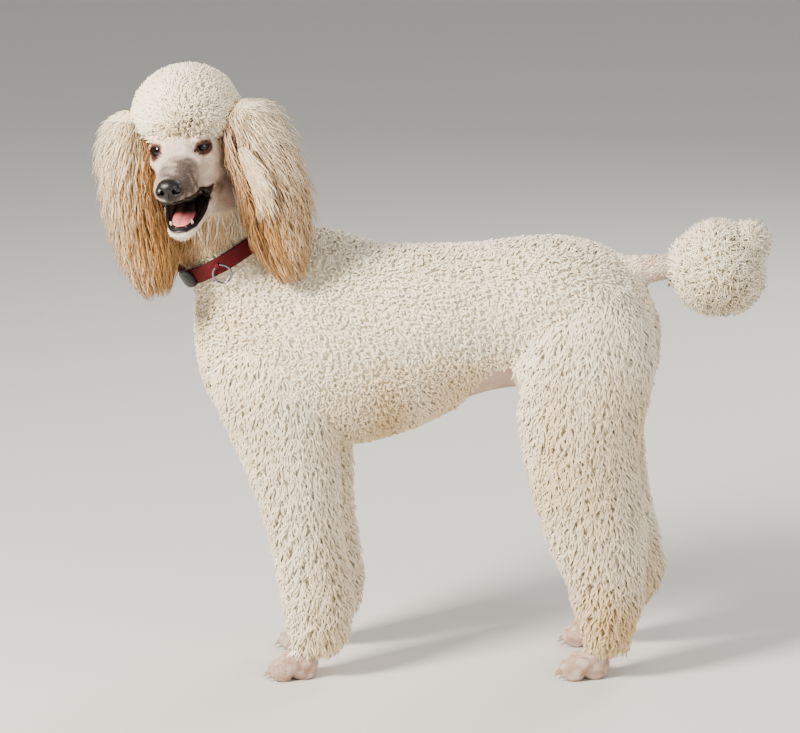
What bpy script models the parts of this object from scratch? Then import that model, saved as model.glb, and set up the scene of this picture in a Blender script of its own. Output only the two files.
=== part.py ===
"""A standard poodle standing square, head turned to its left, at life size, in metres.

+Z is up and the floor is Z = 0. The body lies along X with the head towards -X, and the dog's left side
faces -Y. The flesh is modelled whole and parted with thin cuts; the nose, eyes, tongue, ears and collar are
pieces of their own.
"""

import math

import bmesh
import bpy
import numpy as np
from mathutils import Matrix, Vector
from mathutils.bvhtree import BVHTree

# Driving dimensions
GAP = 0.0003
CORE_SHARE = 0.5
SEED = 7
CORE_VOXEL = 0.009
CORE_TRIANGLES = 2400
HEAD_VOXEL = 0.0042
HEAD_TRIANGLES = 1200
REGION_REACH = 2.0
ORIGIN = Vector((0.21153, -0.04592, 0.0))
FLOOR_SLOPE, FLOOR_PLACE = math.radians(2.0), Vector((-0.180, 0.0, 0.0))

# Colours: red, green, blue, roughness, metallic
COLOURS = {
    "coat": (0.80, 0.74, 0.64, 0.9, 0.0),
    "short_coat": (0.76, 0.68, 0.60, 0.85, 0.0),
    "ear_hair": (0.74, 0.60, 0.42, 0.8, 0.0),
    "nose_leather": (0.02, 0.015, 0.015, 0.35, 0.0),
    "eye": (0.02, 0.01, 0.006, 0.05, 0.0),
    "tongue": (0.65, 0.22, 0.24, 0.4, 0.0),
    "collar_web": (0.30, 0.01, 0.03, 0.6, 0.0),
    "ring_steel": (0.75, 0.75, 0.77, 0.25, 1.0),
    "buckle_plastic": (0.02, 0.02, 0.022, 0.35, 0.0),
}

# Each limb is a loft: places along its own axis, centre across and up, half sizes across and up, coat depth
TORSO = [
    (-0.326, 0.0, 0.488, 0.024, 0.034, 0.010),
    (-0.312, 0.0, 0.478, 0.060, 0.080, 0.018),
    (-0.285, 0.0, 0.470, 0.088, 0.118, 0.018),
    (-0.245, 0.0, 0.470, 0.106, 0.143, 0.018),
    (-0.195, 0.0, 0.472, 0.118, 0.156, 0.018),
    (-0.140, 0.0, 0.469, 0.123, 0.155, 0.018),
    (-0.080, 0.0, 0.466, 0.124, 0.141, 0.018),
    (-0.015, 0.0, 0.477, 0.120, 0.129, 0.018),
    (0.050, 0.0, 0.4955, 0.111, 0.1135, 0.018),
    (0.105, 0.0, 0.507, 0.105, 0.109, 0.018),
    (0.160, 0.0, 0.511, 0.108, 0.111, 0.020),
    (0.215, 0.0, 0.508, 0.106, 0.108, 0.020),
    (0.260, 0.0, 0.500, 0.088, 0.096, 0.018),
    (0.290, 0.0, 0.492, 0.056, 0.070, 0.014),
    (0.303, 0.0, 0.487, 0.022, 0.028, 0.008),
]
NECK_BASE = Vector((-0.225, 0.0, 0.500))
NECK_END = Vector((-0.325, -0.035, 0.720))
NECK = [
    (-0.060, 0.0, 0.000, 0.070, 0.080, 0.018),
    (-0.020, 0.0, 0.000, 0.088, 0.104, 0.018),
    (0.030, 0.0, 0.000, 0.084, 0.097, 0.018),
    (0.070, 0.0, 0.003, 0.076, 0.082, 0.016),
    (0.105, 0.0, 0.006, 0.068, 0.0715, 0.012),
    (0.135, 0.0, 0.007, 0.067, 0.071, 0.012),
    (0.165, 0.0, 0.007, 0.065, 0.069, 0.014),
    (0.205, 0.0, 0.004, 0.060, 0.063, 0.014),
    (0.250, 0.0, 0.000, 0.042, 0.042, 0.012),
]
# The collar is loose: its middle hangs forward of the neck's and its front lower than its back
COLLAR_AT, COLLAR_SLACK, COLLAR_TILT = 0.113, 0.013, math.radians(6)
COLLAR_RADIUS, COLLAR_THICK, COLLAR_WIDE = 0.0720, 0.0030, 0.0230
RING_DROP = 0.0115
RING_RADIUS, RING_WIRE = 0.0130, 0.0016
BUCKLE_LONG, BUCKLE_THICK = 0.032, 0.008
RING_TURN, BUCKLE_TURN = math.radians(-86), math.radians(-40)
# A leg's loft runs up from its cuff: height, centre across the body, centre along it, half sizes, coat depth
FORELEG = [
    (0.046, 0.077, -0.151, 0.030, 0.035, 0.024),
    (0.062, 0.077, -0.149, 0.038, 0.044, 0.028),
    (0.085, 0.077, -0.148, 0.043, 0.050, 0.032),
    (0.120, 0.077, -0.151, 0.046, 0.055, 0.034),
    (0.160, 0.077, -0.158, 0.047, 0.055, 0.034),
    (0.215, 0.077, -0.168, 0.049, 0.056, 0.032),
    (0.280, 0.077, -0.180, 0.052, 0.066, 0.030),
    (0.340, 0.074, -0.194, 0.056, 0.078, 0.026),
    (0.395, 0.070, -0.210, 0.058, 0.086, 0.022),
    (0.450, 0.064, -0.216, 0.054, 0.082, 0.018),
    (0.500, 0.056, -0.214, 0.040, 0.062, 0.016),
]
HINDLEG = [
    (0.059, 0.082, 0.252, 0.032, 0.028, 0.022),
    (0.074, 0.082, 0.253, 0.042, 0.036, 0.028),
    (0.095, 0.082, 0.254, 0.048, 0.043, 0.032),
    (0.125, 0.082, 0.254, 0.052, 0.053, 0.036),
    (0.162, 0.081, 0.248, 0.053, 0.061, 0.036),
    (0.215, 0.080, 0.237, 0.055, 0.073, 0.034),
    (0.275, 0.078, 0.224, 0.059, 0.080, 0.032),
    (0.335, 0.075, 0.214, 0.062, 0.083, 0.028),
    (0.395, 0.070, 0.213, 0.066, 0.094, 0.024),
    (0.450, 0.064, 0.213, 0.066, 0.103, 0.020),
    (0.505, 0.056, 0.211, 0.062, 0.101, 0.020),
    (0.560, 0.046, 0.205, 0.046, 0.076, 0.018),
]
CUFF_HEIGHT = 0.051
# Each foot: its side, how far it stands from its leg's own place along the body and across it, and how far
# the coat over its wrist or hock is set back
STANCE = {
    "foreleg_left": (-1, 0.000, 0.000, 0.000),
    "foreleg_right": (1, -0.009, 0.004, 0.000),
    "hindleg_left": (-1, 0.000, 0.008, 0.000),
    "hindleg_right": (1, -0.010, 0.016, 0.026),
}
HOCK_HEIGHT, HOCK_REACH = 0.130, 0.065
PAW_BEND = 1.3
FOREPAW_AT, HINDPAW_AT = -0.181, 0.226
FOREPAW_PASTERN, HINDPAW_PASTERN = 0.024, 0.030
TOES = [(-0.0215, 0.024), (-0.0078, 0.0315), (0.0078, 0.0315), (0.0215, 0.024)]
PAW_VOXEL = 0.0038
PAW_TRIANGLES = 250
TAIL_ROOT = Vector((0.262, 0.0, 0.570))
TAIL_TIP = Vector((0.440, 0.0, 0.602))
TAIL = [
    (0.000, 0.0, 0.0, 0.024, 0.026, 0.006),
    (0.030, 0.0, 0.0, 0.020, 0.021, 0.005),
    (0.060, 0.0, 0.0, 0.0175, 0.018, 0.004),
    (0.100, 0.0, 0.0, 0.015, 0.015, 0.003),
    (0.150, 0.0, 0.0, 0.010, 0.010, 0.002),
]
# The pom is a round puff with a second one up and behind it: centre, half sizes
POM = [((0.395, 0.0, 0.580), (0.070, 0.067, 0.070)), ((0.434, 0.004, 0.614), (0.036, 0.042, 0.038))]
POM_COAT = 0.052

# Coat clumps: how far apart they stand, half width as a share of that, how far a root is sunk, and least and
# most height
BODY_CLUMPS, LEG_CLUMPS, KNOT_CLUMPS = 0.060, 0.052, 0.042
CLUMP_SHARE, CLUMP_SINK, CLUMP_LEAST, CLUMP_MOST = 0.72, 0.010, 0.004, 0.040
# A clump's rings: reach from its axis and level from its root, in shares
CLUMP_PROFILE = [(0.58, 0.86), (1.0, 0.30)]
CLUMP_SIDES = 6
BODY_TRIANGLES, TOPKNOT_TRIANGLES, POM_TRIANGLES, EAR_TRIANGLES = 5300, 900, 800, 720
NOSE_TRIANGLES = 300

# Head frame: forward along the muzzle, to the dog's left, and up
HEAD_ORIGIN = Vector((-0.328, -0.075, 0.749))
HEAD_YAW, HEAD_PITCH, HEAD_ROLL = math.radians(0.6), math.radians(1.5), math.radians(7)
SKULL = [
    (-0.090, 0.0, 0.012, 0.014, 0.014, 0.0),
    (-0.076, 0.0, 0.008, 0.036, 0.036, 0.0),
    (-0.045, 0.0, 0.002, 0.050, 0.050, 0.0),
    (-0.010, 0.0, -0.002, 0.054, 0.052, 0.0),
    (0.020, 0.0, -0.007, 0.050, 0.045, 0.0),
    (0.044, 0.0, -0.013, 0.040, 0.034, 0.0),
    (0.066, 0.0, -0.019, 0.031, 0.027, 0.0),
]
MUZZLE = [
    (0.020, 0.0, -0.025, 0.036, 0.032, 0.0),
    (0.055, 0.0, -0.026, 0.031, 0.0265, 0.0),
    (0.085, 0.0, -0.0300, 0.0280, 0.0230, 0.0),
    (0.115, 0.0, -0.0340, 0.0255, 0.0205, 0.0),
    (0.138, 0.0, -0.0370, 0.0230, 0.0185, 0.0),
    (0.150, 0.0, -0.0390, 0.0170, 0.0140, 0.0),
]
JAW_HINGE = (-0.020, 0.0, -0.057)
JAW_OPEN = math.radians(20)
JAW = [
    (0.000, 0.0, 0.000, 0.041, 0.018, 0.0),
    (0.045, 0.0, -0.001, 0.038, 0.016, 0.0),
    (0.085, 0.0, -0.001, 0.0285, 0.0130, 0.0),
    (0.115, 0.0, 0.000, 0.0220, 0.0110, 0.0),
    (0.133, 0.0, 0.001, 0.0180, 0.0095, 0.0),
    (0.143, 0.0, 0.002, 0.0110, 0.0060, 0.0),
]
EYE_CENTRE = (0.0385, 0.0285, 0.0010)
EYE_RADIUS = 0.0122
EYE_GAZE = math.radians(24)
LID_THICK = 0.0022
LID_OPENING_DEEP, LID_OPENING_WIDE, LID_OPENING_TALL, LEFT_SQUINT = 0.007, 0.0104, 0.0084, 0.70
MOUTH_CORNER = (0.036, 0.0, -0.059)
TONGUE = [
    (0.058, 0.0, 0.0105, 0.0080, 0.0030, 0.0),
    (0.066, 0.0, 0.0110, 0.0125, 0.0045, 0.0),
    (0.090, 0.0, 0.0115, 0.0140, 0.0050, 0.0),
    (0.112, 0.0, 0.0120, 0.0135, 0.0045, 0.0),
    (0.126, 0.0, 0.0120, 0.0105, 0.0035, 0.0),
    (0.133, 0.0, 0.0115, 0.0050, 0.0020, 0.0),
]
# Lower teeth in the jaw frame: across, along, radius and height above the gum
TEETH = [
    (-0.0135, 0.1230, 0.0022, 0.010),
    (-0.0072, 0.1335, 0.0015, 0.005),
    (-0.0024, 0.1355, 0.0015, 0.005),
    (0.0024, 0.1355, 0.0015, 0.005),
    (0.0072, 0.1335, 0.0015, 0.005),
    (0.0135, 0.1230, 0.0022, 0.010),
]
TOPKNOT_CENTRE = (-0.016, 0.0, 0.036)
TOPKNOT_SIZE = (0.086, 0.0755, 0.076)
TOPKNOT_COAT = 0.040
HAIRLINE_FRONT, HAIRLINE_BACK = (0.062, 0.0215), (-0.100, -0.012)
# Ear leather in the head frame, root to tip: forward, outward, up, half width, half thickness
LEFT_EAR = [
    (-0.012, 0.040, 0.010, 0.015, 0.0030),
    (-0.008, 0.062, 0.022, 0.022, 0.0034),
    (-0.002, 0.086, 0.012, 0.030, 0.0030),
    (0.008, 0.099, -0.022, 0.036, 0.0026),
    (0.018, 0.103, -0.062, 0.034, 0.0022),
    (0.025, 0.100, -0.098, 0.020, 0.0018),
    (0.028, 0.098, -0.112, 0.006, 0.0012),
]
RIGHT_EAR = [
    (-0.012, 0.040, 0.010, 0.015, 0.0030),
    (-0.008, 0.061, 0.020, 0.022, 0.0034),
    (-0.002, 0.078, 0.008, 0.030, 0.0030),
    (0.010, 0.083, -0.026, 0.036, 0.0026),
    (0.022, 0.081, -0.066, 0.034, 0.0022),
    (0.030, 0.076, -0.102, 0.020, 0.0018),
    (0.033, 0.074, -0.116, 0.006, 0.0012),
]
# The ear's hair as a whole, in the head frame: forward, outward, up, half length along the head, half width
LEFT_EAR_HAIR = [
    (0.000, 0.090, 0.056, 0.016, 0.012),
    (0.000, 0.095, 0.036, 0.040, 0.044),
    (0.006, 0.110, -0.010, 0.052, 0.055),
    (0.016, 0.122, -0.065, 0.054, 0.054),
    (0.026, 0.119, -0.120, 0.050, 0.048),
    (0.034, 0.121, -0.165, 0.040, 0.038),
    (0.038, 0.132, -0.200, 0.018, 0.018),
]
RIGHT_EAR_HAIR = [
    (0.000, 0.074, 0.054, 0.014, 0.012),
    (0.000, 0.078, 0.036, 0.038, 0.034),
    (0.010, 0.084, -0.010, 0.050, 0.048),
    (0.024, 0.082, -0.065, 0.054, 0.047),
    (0.034, 0.072, -0.120, 0.050, 0.044),
    (0.040, 0.064, -0.165, 0.040, 0.035),
    (0.042, 0.060, -0.203, 0.016, 0.018),
]
EAR_CLEAR = 0.0020
# Rows of ear locks: where each row's locks start and end along the ear, and how many go round it
LOCK_ROWS = [(0.10, 0.50, 8), (0.34, 0.76, 9), (0.56, 0.96, 8), (0.74, 1.0, 5)]
LOCK_TAPER = (0.55, 1.0, 0.95, 0.6)
LOCK_WIDE, LOCK_THICK = 0.021, 0.0065


class Frame:
    """A place and three directions: along, across and up."""

    def __init__(self, origin, along, across, up):
        self.origin = Vector(origin)
        self.along, self.across, self.up = Vector(along), Vector(across), Vector(up)

    def at(self, along, across, up):
        return self.origin + self.along * along + self.across * across + self.up * up

    def matrix(self):
        rows = Matrix((self.along, self.across, self.up)).transposed().to_4x4()
        rows.translation = self.origin
        return rows


def head_frame():
    forward = Vector((-math.sin(HEAD_YAW), -math.cos(HEAD_YAW), 0.0))
    up = Vector((0, 0, 1))
    left = up.cross(forward)
    nod_forward = forward * math.cos(HEAD_PITCH) - up * math.sin(HEAD_PITCH)
    nod_up = up * math.cos(HEAD_PITCH) + forward * math.sin(HEAD_PITCH)
    tilt_left = left * math.cos(HEAD_ROLL) + nod_up * math.sin(HEAD_ROLL)
    tilt_up = nod_up * math.cos(HEAD_ROLL) - left * math.sin(HEAD_ROLL)
    return Frame(HEAD_ORIGIN, nod_forward, tilt_left, tilt_up)


def axis_frame(start, end):
    """A frame along a straight axis, across it level with Y."""
    along = (end - start).normalized()
    across = (Vector((0, 1, 0)) - along * along.y).normalized()
    return Frame(start, along, across, along.cross(across))


FLOOR = Frame(FLOOR_PLACE, (math.cos(FLOOR_SLOPE), 0, math.sin(FLOOR_SLOPE)), (0, 1, 0),
              (-math.sin(FLOOR_SLOPE), 0, math.cos(FLOOR_SLOPE)))
BODY = Frame((0, 0, 0), (1, 0, 0), (0, 1, 0), (0, 0, 1))
UPRIGHT = Frame((0, 0, 0), (0, 0, 1), (0, 1, 0), (1, 0, 0))
HEAD = head_frame()
NECK_FRAME = axis_frame(NECK_BASE, NECK_END)
TAIL_FRAME = axis_frame(TAIL_ROOT, TAIL_TIP)


def jaw_frame():
    forward = HEAD.along * math.cos(JAW_OPEN) - HEAD.up * math.sin(JAW_OPEN)
    up = HEAD.up * math.cos(JAW_OPEN) + HEAD.along * math.sin(JAW_OPEN)
    return Frame(HEAD.at(*JAW_HINGE), forward, HEAD.across, up)


JAW_FRAME = jaw_frame()


def stations_at(stations, fractions):
    """The stations' values at fractions of the way along, on a Catmull-Rom curve through them."""
    rows = np.array(stations, float)
    padded = np.vstack([2 * rows[0] - rows[1], rows, 2 * rows[-1] - rows[-2]])
    place = np.asarray(fractions) * (len(rows) - 1)
    first = np.minimum(place.astype(int), len(rows) - 2)
    f = (place - first)[:, None]
    a, b, c, d = (padded[first + k] for k in range(4))
    return 0.5 * (2 * b + (c - a) * f + (2 * a - 5 * b + 4 * c - d) * f**2 + (3 * b - a - 3 * c + d) * f**3)


def loft_points(frame, stations, rings, sides, inset=0.0):
    """Points of an elliptical loft as an array of rings by sides, drawn in by a share of the coat's depth."""
    rows = stations_at(stations, np.linspace(0, 1, rings))
    angle = np.linspace(0, 2 * math.pi, sides, endpoint=False)
    across = np.maximum(rows[:, 3] - inset * rows[:, 5], 0.003)
    up = np.maximum(rows[:, 4] - inset * rows[:, 5], 0.003)
    x = np.repeat(rows[:, 0:1], sides, axis=1)
    y = rows[:, 1:2] + across[:, None] * np.cos(angle)
    z = rows[:, 2:3] + up[:, None] * np.sin(angle)
    basis = np.array([frame.along, frame.across, frame.up])
    return np.array(frame.origin) + np.stack([x, y, z], axis=-1) @ basis


def material(slot):
    found = bpy.data.materials.get(slot)
    if found:
        return found
    red, green, blue, roughness, metallic = COLOURS[slot]
    made = bpy.data.materials.new(slot)
    made.use_nodes = True
    shader = made.node_tree.nodes["Principled BSDF"]
    shader.inputs["Base Color"].default_value = (red, green, blue, 1)
    shader.inputs["Roughness"].default_value = roughness
    shader.inputs["Metallic"].default_value = metallic
    return made


def add_object(name, bm, collection, slot=None):
    mesh = bpy.data.meshes.new(name)
    bmesh.ops.recalc_face_normals(bm, faces=bm.faces)
    bm.to_mesh(mesh)
    bm.free()
    obj = bpy.data.objects.new(name, mesh)
    collection.objects.link(obj)
    if slot:
        mesh.materials.append(material(slot))
    return obj


def new_collection(name):
    made = bpy.data.collections.new(name)
    bpy.context.scene.collection.children.link(made)
    return made


def loft_mesh(bm, points):
    """Adds a closed loft to a mesh: its rings skinned one to the next, with a fan at each end."""
    rings = [[bm.verts.new(p) for p in ring] for ring in points]
    sides = len(rings[0])
    for first, second in zip(rings, rings[1:]):
        for i in range(sides):
            j = (i + 1) % sides
            bm.faces.new((first[i], first[j], second[j], second[i]))
    for ring in (rings[0], rings[-1]):
        centre = bm.verts.new(sum((v.co for v in ring), Vector()) / sides)
        for i in range(sides):
            bm.faces.new((ring[i], ring[(i + 1) % sides], centre))
    bmesh.ops.triangulate(bm, faces=bm.faces)


def loft(name, frame, stations, rings, sides, collection, inset=0.0, slot=None):
    bm = bmesh.new()
    loft_mesh(bm, loft_points(frame, stations, rings, sides, inset))
    return add_object(name, bm, collection, slot)


def ellipsoid(name, frame, centre, size, collection, segments=16, rings=10, slot=None):
    bm = bmesh.new()
    place = frame.matrix() @ Matrix.Translation(centre) @ Matrix.Diagonal((*size, 1.0))
    bmesh.ops.create_uvsphere(bm, u_segments=segments, v_segments=rings, radius=1.0, matrix=place)
    return add_object(name, bm, collection, slot)


def apply_modifiers(obj):
    graph = bpy.context.evaluated_depsgraph_get()
    made = bpy.data.meshes.new_from_object(obj.evaluated_get(graph))
    obj.modifiers.clear()
    obj.data = made
    return obj


def boolean(obj, other, operation, solver="MANIFOLD"):
    """One Boolean with an object or a collection, by the other solver where the first leaves nothing."""
    before = obj.data
    for choice in (solver, "MANIFOLD" if solver == "EXACT" else "EXACT"):
        obj.data = before
        modifier = obj.modifiers.new(operation, "BOOLEAN")
        modifier.operation = operation
        modifier.solver = choice
        if isinstance(other, bpy.types.Collection):
            modifier.operand_type = "COLLECTION"
            modifier.collection = other
        else:
            modifier.object = other
        if apply_modifiers(obj).data.polygons:
            return obj
    raise RuntimeError(f"{operation} left nothing of {obj.name}")


def empty_collection(collection):
    for obj in list(collection.objects):
        bpy.data.objects.remove(obj)
    bpy.data.collections.remove(collection)


def keep_largest(obj):
    """Keeps the closed surface that holds the most volume."""
    bm = bmesh.new()
    bm.from_mesh(obj.data)
    bmesh.ops.triangulate(bm, faces=bm.faces)
    left, islands = set(bm.verts), []
    while left:
        stack, island = [left.pop()], []
        while stack:
            vert = stack.pop()
            island.append(vert)
            for edge in vert.link_edges:
                other = edge.other_vert(vert)
                if other in left:
                    left.discard(other)
                    stack.append(other)
        faces = {face for vert in island for face in vert.link_faces}
        volume = sum(f.verts[0].co.dot(f.verts[1].co.cross(f.verts[2].co)) for f in faces) / 6
        islands.append((volume, island))
    islands.sort(key=lambda entry: entry[0])
    bmesh.ops.delete(bm, geom=[v for _, island in islands[:-1] for v in island], context="VERTS")
    bm.to_mesh(obj.data)
    bm.free()
    return obj


def blended(name, collection, voxel, triangles, smooth_rounds):
    """Melts a collection of overlapping closed shapes into one smooth closed shape of few triangles."""
    bm = bmesh.new()
    for obj in collection.objects:
        bm.from_mesh(obj.data)
    melted = add_object(name, bm, bpy.context.scene.collection)
    remesh = melted.modifiers.new("Melt", "REMESH")
    remesh.mode = "VOXEL"
    remesh.voxel_size = voxel
    soften = melted.modifiers.new("Soften", "SMOOTH")
    soften.factor = 0.5
    soften.iterations = smooth_rounds
    apply_modifiers(melted)
    reduce = melted.modifiers.new("Reduce", "DECIMATE")
    reduce.ratio = min(1.0, triangles / (2 * len(melted.data.polygons)))
    return apply_modifiers(melted)


def surface_places(obj, spacing_at, tries, generator):
    """Places spread evenly over a mesh, each beyond its spacing from those before it, with the way out."""
    mesh = obj.data
    mesh.calc_loop_triangles()
    corners = np.array([[mesh.vertices[v].co for v in t.vertices] for t in mesh.loop_triangles])
    cross = np.cross(corners[:, 1] - corners[:, 0], corners[:, 2] - corners[:, 0])
    area = np.linalg.norm(cross, axis=1)
    chosen = generator.choice(len(area), tries, p=area / area.sum())
    u, v = generator.random((2, tries, 1))
    flip = u + v > 1
    u, v = np.where(flip, 1 - u, u), np.where(flip, 1 - v, v)
    a, b, c = (corners[chosen, k] for k in range(3))
    points = a + u * (b - a) + v * (c - a)
    normals = cross[chosen] / area[chosen, None]
    kept, spacings = [], []
    for i, point in enumerate(points):
        spacing = spacing_at(point)
        if spacing <= 0:
            continue
        if not kept or (np.linalg.norm(points[kept] - point, axis=1) > np.minimum(spacings, spacing)).all():
            kept.append(i)
            spacings.append(spacing)
    return points[kept], normals[kept], np.array(spacings)


def clump(point, out, half, height, generator, collection):
    """A rounded clump of curls that reaches the outer shape, with its root sunk in the core."""
    turn = Vector(out).to_track_quat("Z", "Y").to_matrix().to_4x4()
    stretch = generator.uniform(0.93, 1.08)
    spin = Matrix.Rotation(generator.uniform(0, math.tau), 4, "Z")
    tall = height + CLUMP_SINK
    place = Matrix.Translation(Vector(point) - Vector(out) * tall) @ turn @ spin
    place = place @ Matrix.Diagonal((half * stretch, half / stretch, tall, 1))
    bm = bmesh.new()
    rows = []
    for i, (reach, level) in enumerate(CLUMP_PROFILE):
        wobble = generator.uniform(0.93, 1.07, CLUMP_SIDES)
        turns = [math.tau * (k + 0.5 * (i % 2)) / CLUMP_SIDES for k in range(CLUMP_SIDES)]
        wide = [reach * w for w in wobble]
        ring = [Vector((w * math.cos(t), w * math.sin(t), level)) for t, w in zip(turns, wide)]
        rows.append([bm.verts.new(place @ co) for co in ring])
    top = bm.verts.new(place @ Vector((0, 0, 1)))
    root = bm.verts.new(place @ Vector((0, 0, -0.1)))
    for k in range(CLUMP_SIDES):
        after = (k + 1) % CLUMP_SIDES
        bm.faces.new((rows[0][k], rows[0][after], top))
        bm.faces.new((rows[-1][after], rows[-1][k], root))
        for high, low in zip(rows, rows[1:]):
            bm.faces.new((low[k], low[after], high[after], high[k]))
    bmesh.ops.triangulate(bm, faces=bm.faces)
    return add_object("clump", bm, collection)


def lighten(obj, triangles):
    """Takes a closed mesh down to about a number of triangles."""
    bm = bmesh.new()
    bm.from_mesh(obj.data)
    bmesh.ops.triangulate(bm, faces=bm.faces)
    bm.to_mesh(obj.data)
    bm.free()
    reduce = obj.modifiers.new("Reduce", "DECIMATE")
    reduce.ratio = min(1.0, triangles / len(obj.data.polygons))
    return apply_modifiers(obj)


def coated(core, outer, spacing_at, triangles, generator):
    """A core covered with clumps that reach the outer shape, in one closed surface of few triangles."""
    tree = BVHTree.FromPolygons([v.co for v in core.data.vertices], [p.vertices for p in core.data.polygons])
    clumps = new_collection("clumps")
    for point, out, spacing in zip(*surface_places(outer, spacing_at, 16000, generator)):
        hit = tree.ray_cast(Vector(point), -Vector(out), 0.1)
        height = min(max(hit[3] or CLUMP_LEAST, CLUMP_LEAST), CLUMP_MOST)
        clump(point, out, spacing * CLUMP_SHARE, height, generator, clumps)
    boolean(core, clumps, "UNION")
    empty_collection(clumps)
    bpy.data.objects.remove(outer)
    return lighten(keep_largest(core), triangles)


def leg_stations(stations, stance):
    """A leg's stations on its own side, bent so that its foot stands where the dog put it."""
    side, along, across, set_back = STANCE[stance]
    top = stations[-1][0]
    rows = []
    for height, out, middle, half_out, half_along, coat in stations:
        share = (1 - height / top) ** PAW_BEND
        back = set_back * math.exp(-(((height - HOCK_HEIGHT) / HOCK_REACH) ** 2))
        sideways, lengthways = side * out + across * share, middle + along * share + back
        rows.append((height, sideways, lengthways, half_out, half_along, coat))
    return rows


def body_lofts(inset, collection):
    loft("torso_form", BODY, TORSO, 30, 28, collection, inset)
    loft("neck_form", NECK_FRAME, NECK, 16, 24, collection, inset)
    for stance in STANCE:
        rows = leg_stations(FORELEG if stance.startswith("fore") else HINDLEG, stance)
        loft(stance + "_form", UPRIGHT, rows, 26, 18, collection, inset)
    loft("tail_form", TAIL_FRAME, TAIL, 10, 14, collection, inset)


def head_forms(collection):
    loft("skull_form", HEAD, SKULL, 18, 24, collection)
    loft("muzzle_form", HEAD, MUZZLE, 18, 24, collection)
    for side in (-1, 1):
        ellipsoid("cheek_form", HEAD, (0.000, side * 0.030, -0.030), (0.042, 0.022, 0.026), collection)
        ellipsoid("cheekbone_form", HEAD, (0.020, side * 0.039, -0.014), (0.030, 0.0105, 0.010), collection)
        ellipsoid("brow_form", HEAD, (0.036, side * 0.026, 0.014), (0.014, 0.013, 0.008), collection)
        ellipsoid("lip_form", HEAD, (0.096, side * 0.015, -0.046), (0.040, 0.0125, 0.011), collection)
    loft("jaw_form", JAW_FRAME, JAW, 16, 20, collection)
    ellipsoid("throat_form", HEAD, (-0.030, 0.0, -0.052), (0.044, 0.040, 0.030), collection)


def region(name, planes, collection, grow):
    """A convex block inside every plane (a point and a direction inwards), made larger by grow."""
    bm = bmesh.new()
    bmesh.ops.create_cube(bm, size=REGION_REACH)
    for point, inwards in planes:
        inwards = Vector(inwards).normalized()
        geom = bm.verts[:] + bm.edges[:] + bm.faces[:]
        place = Vector(point) - inwards * grow
        cut = bmesh.ops.bisect_plane(bm, geom=geom, plane_co=place, plane_no=inwards, clear_inner=True)
        bmesh.ops.edgenet_fill(bm, edges=[e for e in cut["geom_cut"] if isinstance(e, bmesh.types.BMEdge)])
    return add_object(name, bm, collection)


def copy_of(obj, name, collection):
    made = obj.copy()
    made.data = obj.data.copy()
    made.name = name
    collection.objects.link(made)
    return made


def part_off(whole, name, planes, slot):
    """Parts a node from the whole along planes, half the gap to each side."""
    scene = bpy.context.scene.collection
    piece = copy_of(whole, name, scene)
    for obj, grow, operation in ((piece, -GAP / 2, "INTERSECT"), (whole, GAP / 2, "DIFFERENCE")):
        cutter = region(name + "_region", planes, scene, grow)
        boolean(obj, cutter, operation)
        bpy.data.objects.remove(cutter)
    return finish(piece, slot)


def finish(obj, slot):
    keep_largest(obj)
    obj.data.materials.clear()
    obj.data.materials.append(material(slot))
    return obj


def swell(obj, by):
    """Moves every vertex outwards, or inwards where by is negative."""
    bm = bmesh.new()
    bm.from_mesh(obj.data)
    bm.normal_update()
    shifts = [v.normal * (by * min(v.calc_shell_factor(), 2.0)) for v in bm.verts]
    for vert, shift in zip(bm.verts, shifts):
        vert.co += shift
    bm.to_mesh(obj.data)
    bm.free()
    return obj


def seat(obj, other, by=GAP):
    """Cuts from an object the space of another one, larger by a gap."""
    cutter = swell(copy_of(other, other.name + "_seat", bpy.context.scene.collection), by)
    boolean(obj, cutter, "DIFFERENCE")
    bpy.data.objects.remove(cutter)
    return obj


def joined(name, collection, slot):
    """One closed body from a collection of overlapping closed meshes."""
    first = collection.objects[0]
    whole = copy_of(first, name, bpy.context.scene.collection)
    bpy.data.objects.remove(first)
    boolean(whole, collection, "UNION")
    empty_collection(collection)
    return finish(whole, slot)


def in_head(along, across, up):
    """A direction of the head frame in the world."""
    return HEAD.along * along + HEAD.across * across + HEAD.up * up


def hairline_plane(inwards):
    front, back = HAIRLINE_FRONT, HAIRLINE_BACK
    slope = in_head(back[1] - front[1], 0, front[0] - back[0])
    return HEAD.at(front[0], 0, front[1]), slope * inwards


def head_plane(inwards):
    return HEAD.at(-0.052, 0, -0.064), in_head(0.35, 0, 0.94) * inwards


def neck_plane(inwards):
    return Vector((-0.255, 0.0, 0.577)), Vector((-0.608, 0.0, 0.794)) * inwards


def leg_planes(stance):
    """The planes that part a leg from the torso: a slanting one in the armpit or groin, and its own side."""
    side = STANCE[stance][0]
    planes = [((0, 0, 0), (0, side, 0)), (FLOOR.at(0, 0, CUFF_HEIGHT), FLOOR.up)]
    if stance.startswith("fore"):
        return planes + [((-0.2, side * 0.07, 0.345), (0, side * 0.75, -0.66)), ((-0.092, 0, 0), (-1, 0, 0))]
    return planes + [((0.2, side * 0.07, 0.430), (0, side * 0.75, -0.66)), ((0.102, 0, 0), (1, 0, 0))]


def tail_planes():
    """The planes that part the dock from the rump: across its root, and about it."""
    root = 0.030
    below = (TAIL_FRAME.at(root, 0, -0.030), TAIL_FRAME.up)
    sides = [(TAIL_FRAME.at(root, side * 0.035, 0), -side * TAIL_FRAME.across) for side in (-1, 1)]
    return [(TAIL_FRAME.at(root, 0, 0), TAIL_FRAME.along), below] + sides


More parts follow.
